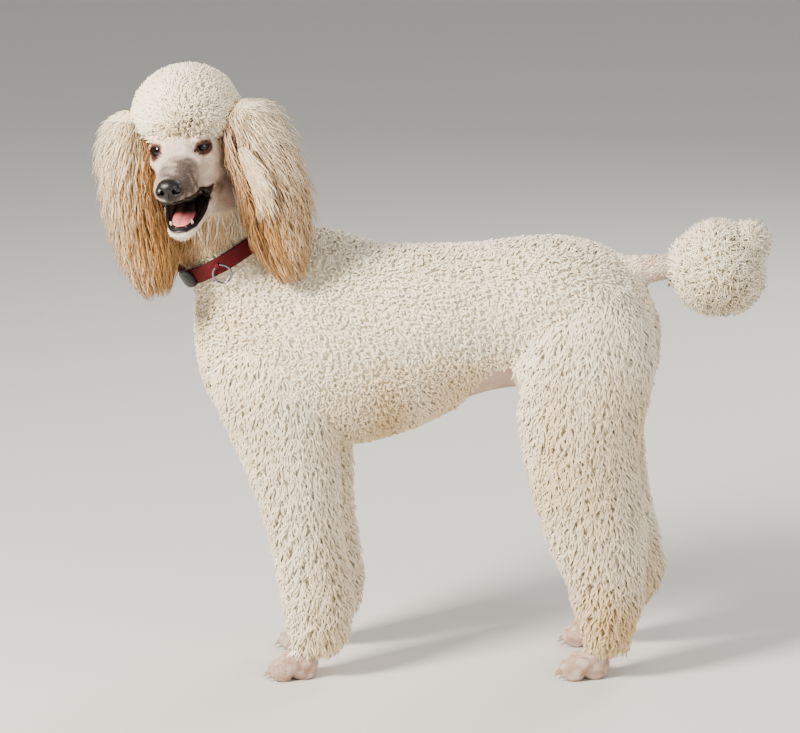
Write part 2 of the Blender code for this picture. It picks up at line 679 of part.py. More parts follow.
def whole_body(name, inset):
    """The torso, neck, legs and tail dock as one smooth shape, drawn in by a share of the coat's depth."""
    forms = new_collection(name + "_forms")
    body_lofts(inset, forms)
    loft("skull_form", HEAD, SKULL, 18, 24, forms)
    whole = blended(name, forms, CORE_VOXEL, CORE_TRIANGLES, 4)
    empty_collection(forms)
    return whole


def body_spacing(point):
    """How far apart clumps stand: none on the shaven tail root, the cuffs and inside the head."""
    place = Vector(point)
    if TAIL_FRAME.along.dot(place - TAIL_FRAME.at(0.004, 0, 0)) > 0 and place.z > 0.535:
        return 0
    if FLOOR.up.dot(place - FLOOR.origin) < CUFF_HEIGHT + 0.012:
        return 0
    if (place - head_plane(1)[0]).dot(head_plane(1)[1]) > -0.004:
        return 0
    return LEG_CLUMPS if place.z < 0.36 else BODY_CLUMPS


def build_body():
    """The torso, neck, legs and tail dock, modelled whole and parted."""
    generator = np.random.default_rng(SEED)
    core, outer = whole_body("torso", CORE_SHARE), whole_body("outer", 0.0)
    whole = coated(core, outer, body_spacing, BODY_TRIANGLES, generator)
    boolean_out(whole, [head_plane(1)])
    neck = part_off(whole, "neck", [neck_plane(1)], "coat")
    for stance in STANCE:
        part_off(whole, stance, leg_planes(stance), "coat")
    part_off(whole, "tail_dock", tail_planes(), "short_coat")
    finish(whole, "coat")
    return neck


def boolean_out(obj, planes):
    cutter = region("cutter", planes, bpy.context.scene.collection, GAP / 2)
    boolean(obj, cutter, "DIFFERENCE")
    bpy.data.objects.remove(cutter)


def keep_inside(obj, planes):
    cutter = region("cutter", planes, bpy.context.scene.collection, -GAP / 2)
    boolean(obj, cutter, "INTERSECT")
    bpy.data.objects.remove(cutter)


def build_head():
    """The skull, muzzle and jaw, modelled whole, with lids, eye sockets, nostrils and mouth, then parted."""
    scene = bpy.context.scene.collection
    forms = new_collection("head_forms")
    head_forms(forms)
    loft("neck_form", NECK_FRAME, NECK, 16, 24, forms)
    head = blended("head", forms, HEAD_VOXEL, HEAD_TRIANGLES, 2)
    empty_collection(forms)
    keep_inside(head, [head_plane(1)])
    eyes = [build_eye(side) for side in (1, -1)]
    for side in (1, -1):
        lid = eyeball("lid", side, EYE_RADIUS + LID_THICK, scene)
        boolean(head, lid, "UNION")
        bpy.data.objects.remove(lid)
    for side, eye in zip((1, -1), eyes):
        seat(head, eye)
        opening = lid_opening(side, scene)
        boolean(head, opening, "DIFFERENCE")
        bpy.data.objects.remove(opening)
    nose = build_nose()
    seat(head, nose)
    corner = HEAD.at(*MOUTH_CORNER)
    planes = [(corner, in_head(0.80, 0, -0.60)), (corner, in_head(-0.17, 0, -0.985))]
    jaw = part_off(head, "lower_jaw", planes, "short_coat")
    build_mouth(jaw)
    topknot = build_topknot(head)
    keep_inside(head, [hairline_plane(-1)])
    finish(head, "short_coat")
    return head, topknot


def eye_frame(side):
    """The eye's own frame: along its gaze, across and up."""
    along = in_head(math.cos(EYE_GAZE), side * math.sin(EYE_GAZE), 0)
    across = in_head(-math.sin(EYE_GAZE) * side, math.cos(EYE_GAZE), 0)
    return Frame(HEAD.at(EYE_CENTRE[0], side * EYE_CENTRE[1], EYE_CENTRE[2]), along, across, HEAD.up)


def eyeball(name, side, radius, collection, slot=None):
    return ellipsoid(name, eye_frame(side), (0, 0, 0), (radius,) * 3, collection, 12, 8, slot)


def build_eye(side):
    name = "eye_left" if side > 0 else "eye_right"
    return eyeball(name, side, EYE_RADIUS, bpy.context.scene.collection, "eye")


def lid_opening(side, collection):
    """The almond between the lids."""
    tall = LID_OPENING_TALL * (LEFT_SQUINT if side > 0 else 1.0)
    size = (LID_OPENING_DEEP, LID_OPENING_WIDE, tall)
    return ellipsoid("opening", eye_frame(side), (EYE_RADIUS, 0, 0), size, collection)


def build_nose():
    """The nose pad: a broad rounded block with a nostril at each side and a cleft below."""
    scene = bpy.context.scene.collection
    forms = new_collection("nose_forms")
    ellipsoid("pad", HEAD, (0.1490, 0, -0.0330), (0.0130, 0.0165, 0.0120), forms, 12, 8)
    ellipsoid("lower_pad", HEAD, (0.1480, 0, -0.0430), (0.0105, 0.0080, 0.0100), forms, 8, 6)
    for side in (-1, 1):
        ellipsoid("wing", HEAD, (0.1490, side * 0.0100, -0.0365), (0.0110, 0.0085, 0.0085), forms, 10, 6)
    nose = lighten(joined("nose", forms, "nose_leather"), NOSE_TRIANGLES)
    for side in (-1, 1):
        place = (0.1600, side * 0.0085, -0.0370)
        nostril = ellipsoid("nostril", HEAD, place, (0.0060, 0.0030, 0.0036), scene, 8, 6)
        boolean(nose, nostril, "DIFFERENCE")
        bpy.data.objects.remove(nostril)
    return finish(nose, "nose_leather")


def build_mouth(jaw):
    """Hollows the jaw for the tongue and sets the lower teeth in it."""
    scene = bpy.context.scene.collection
    trough = ellipsoid("trough", JAW_FRAME, (0.090, 0, 0.0165), (0.038, 0.0165, 0.0125), scene, 12, 6)
    boolean(jaw, trough, "DIFFERENCE")
    bpy.data.objects.remove(trough)
    tongue = loft("tongue", JAW_FRAME, TONGUE, 8, 10, scene, slot="tongue")
    seat(jaw, tongue)
    teeth = new_collection("teeth")
    for across, along, radius, height in TEETH:
        bm = bmesh.new()
        place = JAW_FRAME.matrix() @ Matrix.Translation((along, across, 0.007 + height / 2))
        bmesh.ops.create_cone(bm, segments=5, radius1=radius, radius2=radius * 0.4, depth=height + 0.004,
                              cap_ends=True, matrix=place)
        add_object("tooth", bm, teeth)
    boolean(jaw, teeth, "UNION")
    empty_collection(teeth)
    finish(jaw, "short_coat")


def puff(name, frame, balls, inset):
    """Rounded balls of hair melted into one, drawn in by a depth."""
    forms = new_collection(name + "_forms")
    for centre, size in balls:
        ellipsoid("ball", frame, centre, [half - inset for half in size], forms, 24, 14)
    made = blended(name, forms, 0.006, 1400, 1)
    empty_collection(forms)
    return made


def build_topknot(head):
    """The rounded topknot, with the top of the skull in it, above the hairline."""
    balls = [(TOPKNOT_CENTRE, TOPKNOT_SIZE)]
    core = puff("topknot", HEAD, balls, TOPKNOT_COAT * CORE_SHARE)
    outer = puff("topknot_outer", HEAD, balls, 0.0)
    place, inwards = hairline_plane(1)

    def spacing(point):
        return KNOT_CLUMPS if (Vector(point) - place).dot(inwards.normalized()) > -0.012 else 0

    topknot = coated(core, outer, spacing, TOPKNOT_TRIANGLES, np.random.default_rng(SEED + 1))
    boolean(topknot, head, "UNION")
    lighten(topknot, TOPKNOT_TRIANGLES)
    keep_inside(topknot, [hairline_plane(1)])
    return finish(topknot, "coat")


def ear_places(side, rows, fractions, turns, share=1.0):
    """Points on a form that hangs from the head: its width lies along the head, its thickness across it."""
    values = stations_at(rows, fractions)
    ahead = stations_at(rows, np.minimum(np.asarray(fractions) + 0.02, 1.0))
    behind = stations_at(rows, np.maximum(np.asarray(fractions) - 0.02, 0.0))
    points = []
    for row, after, before, turn in zip(values, ahead, behind, turns):
        tangent = (HEAD.at(after[0], side * after[1], after[2])
                   - HEAD.at(before[0], side * before[1], before[2])).normalized()
        wide = (HEAD.along - tangent * HEAD.along.dot(tangent)).normalized()
        thin = tangent.cross(wide) * -side
        centre = HEAD.at(row[0], side * row[1], row[2])
        sideways, outwards = share * row[3] * math.cos(turn), share * row[4] * math.sin(turn)
        points.append(centre + wide * sideways + thin * outwards)
    return points


def flat_loft(name, side, rows, collection, sides, rings, share=1.0):
    turns = [math.tau * k / sides for k in range(sides)]
    fractions = np.linspace(0, 1, rings)
    columns = [ear_places(side, rows, fractions, [turn] * rings, share) for turn in turns]
    bm = bmesh.new()
    loft_mesh(bm, list(zip(*columns)))
    return add_object(name, bm, collection)


def lock(path, half_wide, half_thick, out, collection):
    """A flat lock that widens from its root and tapers to its tip along a bending path."""
    bm = bmesh.new()
    rings = []
    for i, centre in enumerate(path[:-1]):
        tangent = (path[i + 1] - path[max(i - 1, 0)]).normalized()
        wide = tangent.cross(out).normalized()
        thin = wide.cross(tangent)
        share = LOCK_TAPER[i]
        wide, thin = wide * half_wide * share, thin * half_thick * share
        rings.append([bm.verts.new(centre + edge) for edge in (wide, thin, -wide, -thin)])
    tip = bm.verts.new(path[-1])
    root = bm.verts.new(path[0] * 1.5 - path[1] * 0.5)
    for low, high in zip(rings, rings[1:]):
        for k in range(4):
            bm.faces.new((low[k], low[(k + 1) % 4], high[(k + 1) % 4], high[k]))
    for k in range(4):
        bm.faces.new((rings[-1][k], rings[-1][(k + 1) % 4], tip))
        bm.faces.new((rings[0][(k + 1) % 4], rings[0][k], root))
    bmesh.ops.triangulate(bm, faces=bm.faces)
    return add_object("lock", bm, collection)


def ear_locks(side, rows, generator, collection):
    """Overlapping locks in rows down the ear, each from the core out and down to the hair's outer shape."""
    for start, end, count in LOCK_ROWS:
        for k in range(count):
            turn = math.tau * (k + generator.uniform(-0.15, 0.15) + 0.5 * (start > 0.3)) / count
            first = start + generator.uniform(-0.02, 0.02)
            last = min(end + generator.uniform(-0.04, 0.04), 1.0)
            along = np.linspace(0, 1, len(LOCK_TAPER) + 1)
            sway = generator.uniform(-0.25, 0.25)
            path = []
            for f in along:
                share = CORE_SHARE * 0.8 + (0.97 - CORE_SHARE * 0.8) * f**0.7
                at = [first + (last - first) * f]
                path.append(ear_places(side, rows, at, [turn + sway * f**2], share)[0])
            middle = ear_places(side, rows, [(first + last) / 2], [turn], 0.0)[0]
            lock(path, LOCK_WIDE * generator.uniform(0.85, 1.15), LOCK_THICK, path[2] - middle, collection)


def build_ear(side, neighbours, envelope):
    """An ear: its leather, seated in the skull and the topknot, and its long hair clear of the body."""
    scene = bpy.context.scene.collection
    name = "ear_left" if side > 0 else "ear_right"
    rows = LEFT_EAR_HAIR if side > 0 else RIGHT_EAR_HAIR
    leather = flat_loft(name + "_leather", side, LEFT_EAR if side > 0 else RIGHT_EAR, scene, 8, 9)
    for neighbour in neighbours:
        seat(neighbour, leather)
        keep_largest(neighbour)
    hair = flat_loft(name, side, rows, scene, 10, 9, CORE_SHARE)
    locks = new_collection("locks")
    ear_locks(side, rows, np.random.default_rng(SEED + 5 + side), locks)
    boolean(hair, locks, "UNION")
    empty_collection(locks)
    for form in envelope:
        boolean(hair, form, "DIFFERENCE")
    for near in ("torso", "neck", "head", "topknot", "lower_jaw", "collar", "collar_buckle", "collar_ring"):
        boolean(hair, bpy.data.objects[near], "DIFFERENCE")
    lighten(keep_largest(hair), EAR_TRIANGLES)
    swell(hair, -GAP)
    boolean(hair, leather, "UNION")
    bpy.data.objects.remove(leather)
    return finish(hair, "ear_hair")


def ear_envelope():
    """Smooth outer shapes of the head, neck and torso, a little larger, that ear hair keeps clear of."""
    body_forms = new_collection("envelope_forms")
    body_lofts(0.0, body_forms)
    head_forms(body_forms)
    ellipsoid("dome", HEAD, TOPKNOT_CENTRE, TOPKNOT_SIZE, body_forms, 28, 18)
    size = COLLAR_RADIUS + COLLAR_THICK
    cylinder("collar_form", size, COLLAR_WIDE, body_forms)
    made = blended("envelope", body_forms, 0.005, 6000, 1)
    empty_collection(body_forms)
    return [swell(made, EAR_CLEAR)]


def collar_frame(turn=0.0):
    """The collar's frame: along the neck, outwards at an angle round it, and round it."""
    along = NECK_FRAME.along * math.cos(COLLAR_TILT) + NECK_FRAME.up * math.sin(COLLAR_TILT)
    front = NECK_FRAME.up * math.cos(COLLAR_TILT) - NECK_FRAME.along * math.sin(COLLAR_TILT)
    out = front * math.cos(turn) + NECK_FRAME.across * math.sin(turn)
    return Frame(NECK_FRAME.at(COLLAR_AT, 0, COLLAR_SLACK), out, along.cross(out), along)


def cylinder(name, radius, length, collection, segments=36, slot=None):
    bm = bmesh.new()
    bmesh.ops.create_cone(bm, segments=segments, radius1=radius, radius2=radius, depth=length, cap_ends=True,
                          matrix=collar_frame().matrix())
    return add_object(name, bm, collection, slot)


def band(name, inner, outer, length, collection, slot=None):
    """A plain ring round the neck."""
    made = cylinder(name, outer, length, collection, slot=slot)
    bore = cylinder("bore", inner, length * 2, collection)
    boolean(made, bore, "DIFFERENCE")
    bpy.data.objects.remove(bore)
    return made


def build_collar(neck):
    """The collar in its groove in the neck's coat, with a ring in a keeper and a clip buckle."""
    scene = bpy.context.scene.collection
    groove = band("groove", COLLAR_RADIUS - GAP, 0.15, COLLAR_WIDE + 2 * GAP, scene)
    boolean(neck, groove, "DIFFERENCE")
    bpy.data.objects.remove(groove)
    collar = band("collar", COLLAR_RADIUS, COLLAR_RADIUS + COLLAR_THICK, COLLAR_WIDE, scene, "collar_web")
    frame = collar_frame(RING_TURN)
    surface = COLLAR_RADIUS + COLLAR_THICK
    ring_out = surface + RING_WIRE + 0.0018
    ring = torus("collar_ring", frame, (ring_out, 0, -RING_DROP), RING_RADIUS, RING_WIRE, scene, "ring_steel")
    keeper_at = (ring_out, 0, RING_RADIUS - RING_DROP)
    keeper = keeper_strap(frame, keeper_at, scene)
    boolean(collar, keeper, "UNION")
    bpy.data.objects.remove(keeper)
    finish(collar, "collar_web")
    for trim in (ring, build_buckle(surface)):
        seat(neck, trim)
    keep_largest(neck)


def torus(name, frame, centre, radius, wire, collection, slot):
    """A ring of round wire that faces outwards."""
    bm = bmesh.new()
    rounds, sides = 20, 6
    rings = []
    for i in range(rounds):
        turn = 2 * math.pi * i / rounds
        ring = []
        for k in range(sides):
            angle = 2 * math.pi * k / sides
            reach = radius + wire * math.cos(angle)
            out, round_it, along = wire * math.sin(angle), reach * math.cos(turn), reach * math.sin(turn)
            ring.append(bm.verts.new(frame.at(centre[0] + out, round_it, centre[2] + along)))
        rings.append(ring)
    for i, ring in enumerate(rings):
        after = rings[(i + 1) % rounds]
        for k in range(sides):
            bm.faces.new((ring[k], ring[(k + 1) % sides], after[(k + 1) % sides], after[k]))
    return add_object(name, bm, collection, slot)


def keeper_strap(frame, centre, collection):
    """A short strap over the ring's wire, its two ends in the collar above and below the wire."""
    bm = bmesh.new()
    inner, outer, half = RING_WIRE + 0.0012, RING_WIRE + 0.0022, 0.0033
    turns = [math.radians(a) for a in (-90, -54, -18, 18, 54, 90)]
    foot = centre[0] - COLLAR_RADIUS - 0.001
    outer_arc = [(outer * math.cos(t), outer * math.sin(t)) for t in turns]
    inner_arc = [(inner * math.cos(t), inner * math.sin(t)) for t in reversed(turns)]
    outline = [(-foot, -outer), *outer_arc, (-foot, outer), (-foot, inner), *inner_arc, (-foot, -inner)]
    ends = []
    for across in (-half, half):
        ends.append([bm.verts.new(frame.at(centre[0] + x, across, centre[2] + z)) for x, z in outline])
    count = len(outline)
    for i in range(count):
        j = (i + 1) % count
        bm.faces.new((ends[0][i], ends[0][j], ends[1][j], ends[1][i]))
    for end in ends:
        sides = [bm.edges.get((end[i], end[(i + 1) % count])) for i in range(count)]
        bmesh.ops.triangle_fill(bm, edges=sides, use_beauty=True)
    return add_object("keeper", bm, collection)


def build_buckle(surface):
    """A clip buckle that hugs the collar."""
    scene = bpy.context.scene.collection
    frame = collar_frame(BUCKLE_TURN)
    bm = bmesh.new()
    place = frame.matrix() @ Matrix.Translation((surface + BUCKLE_THICK / 2 - 0.002, 0, 0))
    bmesh.ops.create_cube(bm, size=1.0, matrix=place @ Matrix.Diagonal((BUCKLE_THICK, BUCKLE_LONG, 0.026, 1)))
    buckle = add_object("collar_buckle", bm, scene, "buckle_plastic")
    bevel = buckle.modifiers.new("Bevel", "BEVEL")
    bevel.width = 0.0025
    bevel.segments = 2
    apply_modifiers(buckle)
    core = cylinder("core", surface + GAP, 0.2, scene)
    boolean(buckle, core, "DIFFERENCE")
    bpy.data.objects.remove(core)
    return finish(buckle, "buckle_plastic")


def paw_frame(stance):
    """A paw's frame on the floor: forwards to its toes, across, and up."""
    side, along, across, _ = STANCE[stance]
    fore = stance.startswith("fore")
    out = (FORELEG if fore else HINDLEG)[0][1]
    place = (FOREPAW_AT if fore else HINDPAW_AT) + along
    centre = FLOOR.at(place - FLOOR_PLACE.x, side * out + across, 0)
    return Frame(centre, -FLOOR.along, FLOOR.across, FLOOR.up)


def build_paw(stance):
    """A shaven paw: pastern, four toes with claws, and pads on flats at floor level."""
    scene = bpy.context.scene.collection
    frame = paw_frame(stance)
    fore = stance.startswith("fore")
    forms = new_collection("paw_forms")
    pastern = FOREPAW_PASTERN if fore else HINDPAW_PASTERN
    ellipsoid("body", frame, (-0.006, 0, 0.021), (0.026, 0.0225, 0.0190), forms)
    ellipsoid("heel_pad", frame, (-0.010, 0, 0.008), (0.019, 0.0190, 0.0110), forms)
    rows = [(0.008, 0, -0.004, 0.020, 0.020, 0), (0.028, 0, -0.010, 0.019, 0.021, 0),
            (0.048, 0, -pastern, 0.0165, 0.0190, 0), (0.072, 0, -pastern - 0.004, 0.0155, 0.0175, 0)]
    loft("pastern", Frame(frame.origin, frame.up, frame.across, frame.along), rows, 8, 14, forms)
    for across, along in TOES:
        toe, knuckle = (along - 0.008, across, 0.0120), (along - 0.020, across * 0.94, 0.0225)
        ellipsoid("toe", frame, toe, (0.0150, 0.0078, 0.0125), forms, 12, 8)
        ellipsoid("knuckle", frame, knuckle, (0.0130, 0.0082, 0.0125), forms, 12, 8)
    name = ("paw_front_" if fore else "paw_hind_") + stance.split("_")[1]
    paw = blended(name, forms, PAW_VOXEL, PAW_TRIANGLES, 1)
    empty_collection(forms)
    claws = new_collection("claws")
    for across, along in TOES:
        bm = bmesh.new()
        place = frame.matrix() @ Matrix.Translation((along + 0.0075, across, 0.0085))
        place = place @ Matrix.Rotation(math.radians(118), 4, "Y")
        bmesh.ops.create_cone(bm, segments=6, radius1=0.0027, radius2=0.0006, depth=0.010, cap_ends=True,
                              matrix=place)
        add_object("claw", bm, claws)
    boolean(paw, claws, "UNION")
    empty_collection(claws)
    keep_inside(paw, [(FLOOR.at(0, 0, -GAP / 2), FLOOR.up), (FLOOR.at(0, 0, CUFF_HEIGHT), -FLOOR.up)])
    return finish(paw, "short_coat")


def build_pom():
    """The pom on the tail's end, with a socket for the dock."""
    core, outer = puff("tail_pom", BODY, POM, POM_COAT * CORE_SHARE * 0.8), puff("pom_outer", BODY, POM, 0.0)
    pom = coated(core, outer, lambda point: KNOT_CLUMPS, POM_TRIANGLES, np.random.default_rng(SEED + 2))
    seat(pom, bpy.data.objects["tail_dock"])
    return finish(pom, "coat")


def stand_on_floor():
    """Turns every piece so that the floor is level, with the origin at the middle of the model's box."""
    place = Matrix.Translation(-ORIGIN) @ FLOOR.matrix().inverted()
    for obj in bpy.data.objects:
        obj.data.transform(place)


def main():
    for obj in list(bpy.data.objects):
        bpy.data.objects.remove(obj)
    neck = build_body()
    head, topknot = build_head()
    build_collar(neck)
    for stance in STANCE:
        build_paw(stance)
    build_pom()
    envelope = ear_envelope()
    for side in (1, -1):
        build_ear(side, (head, topknot), envelope)
    for form in envelope:
        bpy.data.objects.remove(form)
    stand_on_floor()


main()
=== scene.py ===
"""A standard poodle in a curly clipped coat, standing square with its head turned, as a life-size still model.

One skin stands for the flesh, and solid tufts of hair grow from it: tight curls on the body, brushed locks on the
legs, a dense dome on the head, long wavy locks on the ears and a puff on the tail. The face and feet are shaven.
"""

import math

import bpy
import numpy as np
from bpy.props import FloatProperty, FloatVectorProperty, IntProperty, PointerProperty
from bpy.types import Operator, Panel, PropertyGroup
from mathutils import Matrix, Vector


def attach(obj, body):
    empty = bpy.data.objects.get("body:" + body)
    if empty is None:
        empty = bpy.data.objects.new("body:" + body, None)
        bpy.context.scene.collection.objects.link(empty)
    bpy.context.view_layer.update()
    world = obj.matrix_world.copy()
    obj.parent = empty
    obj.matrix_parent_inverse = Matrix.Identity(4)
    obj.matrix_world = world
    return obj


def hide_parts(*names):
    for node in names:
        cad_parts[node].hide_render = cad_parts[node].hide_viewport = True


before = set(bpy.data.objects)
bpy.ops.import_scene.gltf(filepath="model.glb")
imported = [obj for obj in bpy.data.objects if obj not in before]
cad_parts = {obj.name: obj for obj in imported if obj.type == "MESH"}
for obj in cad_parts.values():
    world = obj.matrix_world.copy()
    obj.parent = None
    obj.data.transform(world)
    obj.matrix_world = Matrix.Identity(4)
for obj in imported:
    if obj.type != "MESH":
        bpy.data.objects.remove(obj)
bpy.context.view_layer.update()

bl_info = {
    "name": "Standard poodle",
    "version": (1, 0, 0),
    "blender": (4, 5, 0),
    "location": "3D View > Sidebar > Poodle",
    "description": "Builds a life-size standing poodle around its packed solids",
    "category": "Add Mesh",
}

# The model's origin and floor, in the axes that the body was modelled in
ORIGIN = np.array((0.21153, -0.04592, 0.0))
FLOOR_SLOPE, FLOOR_PLACE = math.radians(2.0), np.array((-0.180, 0.0, 0.0))
DOWN = np.array((0, 0, -1.0))
# The skin is drawn in by this share of the coat's depth
CORE_SHARE = 0.5
# The hair's height stops short of the coat's own form by this much, as locks have a thickness
HAIR_ROOM = 0.0020

# The voxels that each form of the skin is melted with
BODY_VOXEL, FACE_VOXEL, PAW_VOXEL, NOSE_VOXEL = 0.0070, 0.0020, 0.0022, 0.0008
# A limb's coat grows from skin up to this far outside the limb's own form
LIMB_REACH = 0.004
# How deep a tuft's root is sunk, how far hair keeps off the floor, and a tuft's patch on the OFBake map
ROOT_DEPTH, FLOOR_GAP, PATCH = 0.003, 0.0015, 0.0026
# Roots are tried at this many random points for each square of the spacing, and thinned by a key of their own cube
ROOT_TRIES, CUBE_SHARE, CUBE_PRIMES = 5, 1.06, np.array((73856093, 19349663, 83492791))
# The least half size of a loft
THINNEST = 0.003

# Each limb is a loft: places along its own axis, centre across and up, half sizes across and up, coat depth
TORSO = [
    (-0.326, 0.0, 0.488, 0.024, 0.034, 0.010),
    (-0.312, 0.0, 0.478, 0.060, 0.080, 0.018),
    (-0.285, 0.0, 0.470, 0.088, 0.118, 0.018),
    (-0.245, 0.0, 0.470, 0.106, 0.143, 0.018),
    (-0.195, 0.0, 0.472, 0.118, 0.156, 0.018),
    (-0.140, 0.0, 0.469, 0.123, 0.155, 0.018),
    (-0.080, 0.0, 0.466, 0.124, 0.141, 0.018),
    (-0.015, 0.0, 0.477, 0.120, 0.129, 0.018),
    (0.050, 0.0, 0.4955, 0.111, 0.1135, 0.018),
    (0.105, 0.0, 0.507, 0.105, 0.109, 0.018),
    (0.160, 0.0, 0.511, 0.108, 0.111, 0.020),
    (0.215, 0.0, 0.508, 0.106, 0.108, 0.020),
    (0.260, 0.0, 0.500, 0.088, 0.096, 0.018),
    (0.290, 0.0, 0.492, 0.056, 0.070, 0.014),
    (0.303, 0.0, 0.487, 0.022, 0.028, 0.008),
]
NECK_BASE, NECK_END = np.array((-0.225, 0.0, 0.500)), np.array((-0.325, -0.035, 0.720))
NECK = [
    (-0.060, 0.0, 0.000, 0.070, 0.080, 0.018),
    (-0.020, 0.0, 0.000, 0.088, 0.104, 0.018),
    (0.030, 0.0, 0.000, 0.084, 0.097, 0.018),
    (0.070, 0.0, 0.003, 0.076, 0.082, 0.016),
    (0.105, 0.0, 0.006, 0.068, 0.0715, 0.012),
    (0.135, 0.0, 0.007, 0.067, 0.071, 0.012),
    (0.165, 0.0, 0.007, 0.065, 0.069, 0.014),
    (0.205, 0.0, 0.004, 0.060, 0.063, 0.014),
    (0.250, 0.0, 0.000, 0.042, 0.042, 0.012),
]
# A leg's loft runs up from its cuff: height, centre across the body, centre along it, half sizes, coat depth
FORELEG = [
    (0.046, 0.077, -0.151, 0.030, 0.035, 0.024),
    (0.062, 0.077, -0.149, 0.038, 0.044, 0.028),
    (0.085, 0.077, -0.148, 0.043, 0.050, 0.032),
    (0.120, 0.077, -0.151, 0.046, 0.055, 0.034),
    (0.160, 0.077, -0.158, 0.047, 0.055, 0.034),
    (0.215, 0.077, -0.168, 0.049, 0.056, 0.032),
    (0.280, 0.077, -0.180, 0.052, 0.066, 0.030),
    (0.340, 0.074, -0.194, 0.056, 0.078, 0.026),
    (0.395, 0.070, -0.210, 0.058, 0.086, 0.022),
    (0.450, 0.064, -0.216, 0.054, 0.082, 0.018),
    (0.500, 0.056, -0.214, 0.040, 0.062, 0.016),
]
HINDLEG = [
    (0.059, 0.082, 0.252, 0.032, 0.028, 0.022),
    (0.074, 0.082, 0.253, 0.042, 0.036, 0.028),
    (0.095, 0.082, 0.254, 0.048, 0.043, 0.032),
    (0.125, 0.082, 0.254, 0.052, 0.053, 0.036),
    (0.162, 0.081, 0.248, 0.053, 0.061, 0.036),
    (0.215, 0.080, 0.237, 0.055, 0.073, 0.034),
    (0.275, 0.078, 0.224, 0.059, 0.080, 0.032),
    (0.335, 0.075, 0.214, 0.062, 0.083, 0.028),
    (0.395, 0.070, 0.213, 0.066, 0.094, 0.024),
    (0.450, 0.064, 0.213, 0.066, 0.103, 0.020),
    (0.505, 0.056, 0.211, 0.062, 0.101, 0.020),
    (0.560, 0.046, 0.205, 0.046, 0.076, 0.018),
]
# Each foot: its side, how far it stands from its leg's own place, and how far its wrist or hock's coat is set back
STANCE = {
    "foreleg_left": (-1, 0.000, 0.000, 0.000),
    "foreleg_right": (1, -0.009, 0.004, 0.000),
    "hindleg_left": (-1, 0.000, 0.008, 0.000),
    "hindleg_right": (1, -0.010, 0.016, 0.026),
}
# Where a leg's coat is set back and over what height, and the power that its bend towards its foot goes by
HOCK_HEIGHT, HOCK_REACH, PAW_BEND = 0.130, 0.065, 1.3
# Each pair of feet: its legs' stations, where its paws stand and how far back its pasterns lean
FEET = {"fore": (FORELEG, -0.181, 0.024), "hind": (HINDLEG, 0.226, 0.030)}
# Each toe: its place across the paw and how far forward it reaches
TOES = [(-0.0215, 0.024), (-0.0078, 0.0315), (0.0078, 0.0315), (0.0215, 0.024)]
TAIL_ROOT, TAIL_TIP = np.array((0.262, 0.0, 0.570)), np.array((0.440, 0.0, 0.602))
TAIL = [
    (0.000, 0.0, 0.0, 0.024, 0.026, 0.006),
    (0.030, 0.0, 0.0, 0.020, 0.021, 0.005),
    (0.060, 0.0, 0.0, 0.0175, 0.018, 0.004),
    (0.100, 0.0, 0.0, 0.015, 0.015, 0.003),
    (0.150, 0.0, 0.0, 0.010, 0.010, 0.002),
]
# The pom's two balls, each a middle and half sizes, and how deep the skin lies in them
POM = [((0.395, 0.0, 0.580), (0.070, 0.067, 0.070)), ((0.434, 0.004, 0.614), (0.036, 0.042, 0.038))]
POM_CORE = 0.0208

# Head frame: forward along the muzzle, to the dog's left, and up
HEAD_ORIGIN = np.array((-0.328, -0.075, 0.749))
HEAD_YAW, HEAD_PITCH, HEAD_ROLL = math.radians(0.6), math.radians(1.5), math.radians(7)
SKULL = [
    (-0.090, 0.0, 0.012, 0.014, 0.014, 0.0),
    (-0.076, 0.0, 0.008, 0.036, 0.036, 0.0),
    (-0.045, 0.0, 0.002, 0.050, 0.050, 0.0),
    (-0.010, 0.0, -0.002, 0.054, 0.052, 0.0),
    (0.020, 0.0, -0.007, 0.050, 0.045, 0.0),
    (0.044, 0.0, -0.013, 0.040, 0.034, 0.0),
    (0.066, 0.0, -0.019, 0.031, 0.027, 0.0),
]
MUZZLE = [
    (0.020, 0.0, -0.025, 0.036, 0.032, 0.0),
    (0.055, 0.0, -0.026, 0.031, 0.0265, 0.0),
    (0.085, 0.0, -0.0300, 0.0280, 0.0230, 0.0),
    (0.115, 0.0, -0.0340, 0.0255, 0.0205, 0.0),
    (0.138, 0.0, -0.0370, 0.0230, 0.0185, 0.0),
    (0.150, 0.0, -0.0390, 0.0170, 0.0140, 0.0),
]
JAW_HINGE, JAW_OPEN = (-0.020, 0.0, -0.057), math.radians(20)
JAW = [
    (0.000, 0.0, 0.000, 0.041, 0.018, 0.0),
    (0.045, 0.0, -0.001, 0.038, 0.016, 0.0),
    (0.085, 0.0, -0.001, 0.0285, 0.0130, 0.0),
    (0.115, 0.0, 0.000, 0.0220, 0.0110, 0.0),
    (0.133, 0.0, 0.001, 0.0180, 0.0095, 0.0),
    (0.143, 0.0, 0.002, 0.0110, 0.0060, 0.0),
]
MOUTH_CORNER = (0.036, 0.0, -0.059)
# The left eye in the head frame, how far it looks outwards, and how far its dark surround reaches past its lids
EYE_CENTRE, EYE_RADIUS, EYE_GAZE, EYE_SURROUND = (0.0385, 0.0285, 0.0010), 0.0122, math.radians(24), 0.0062
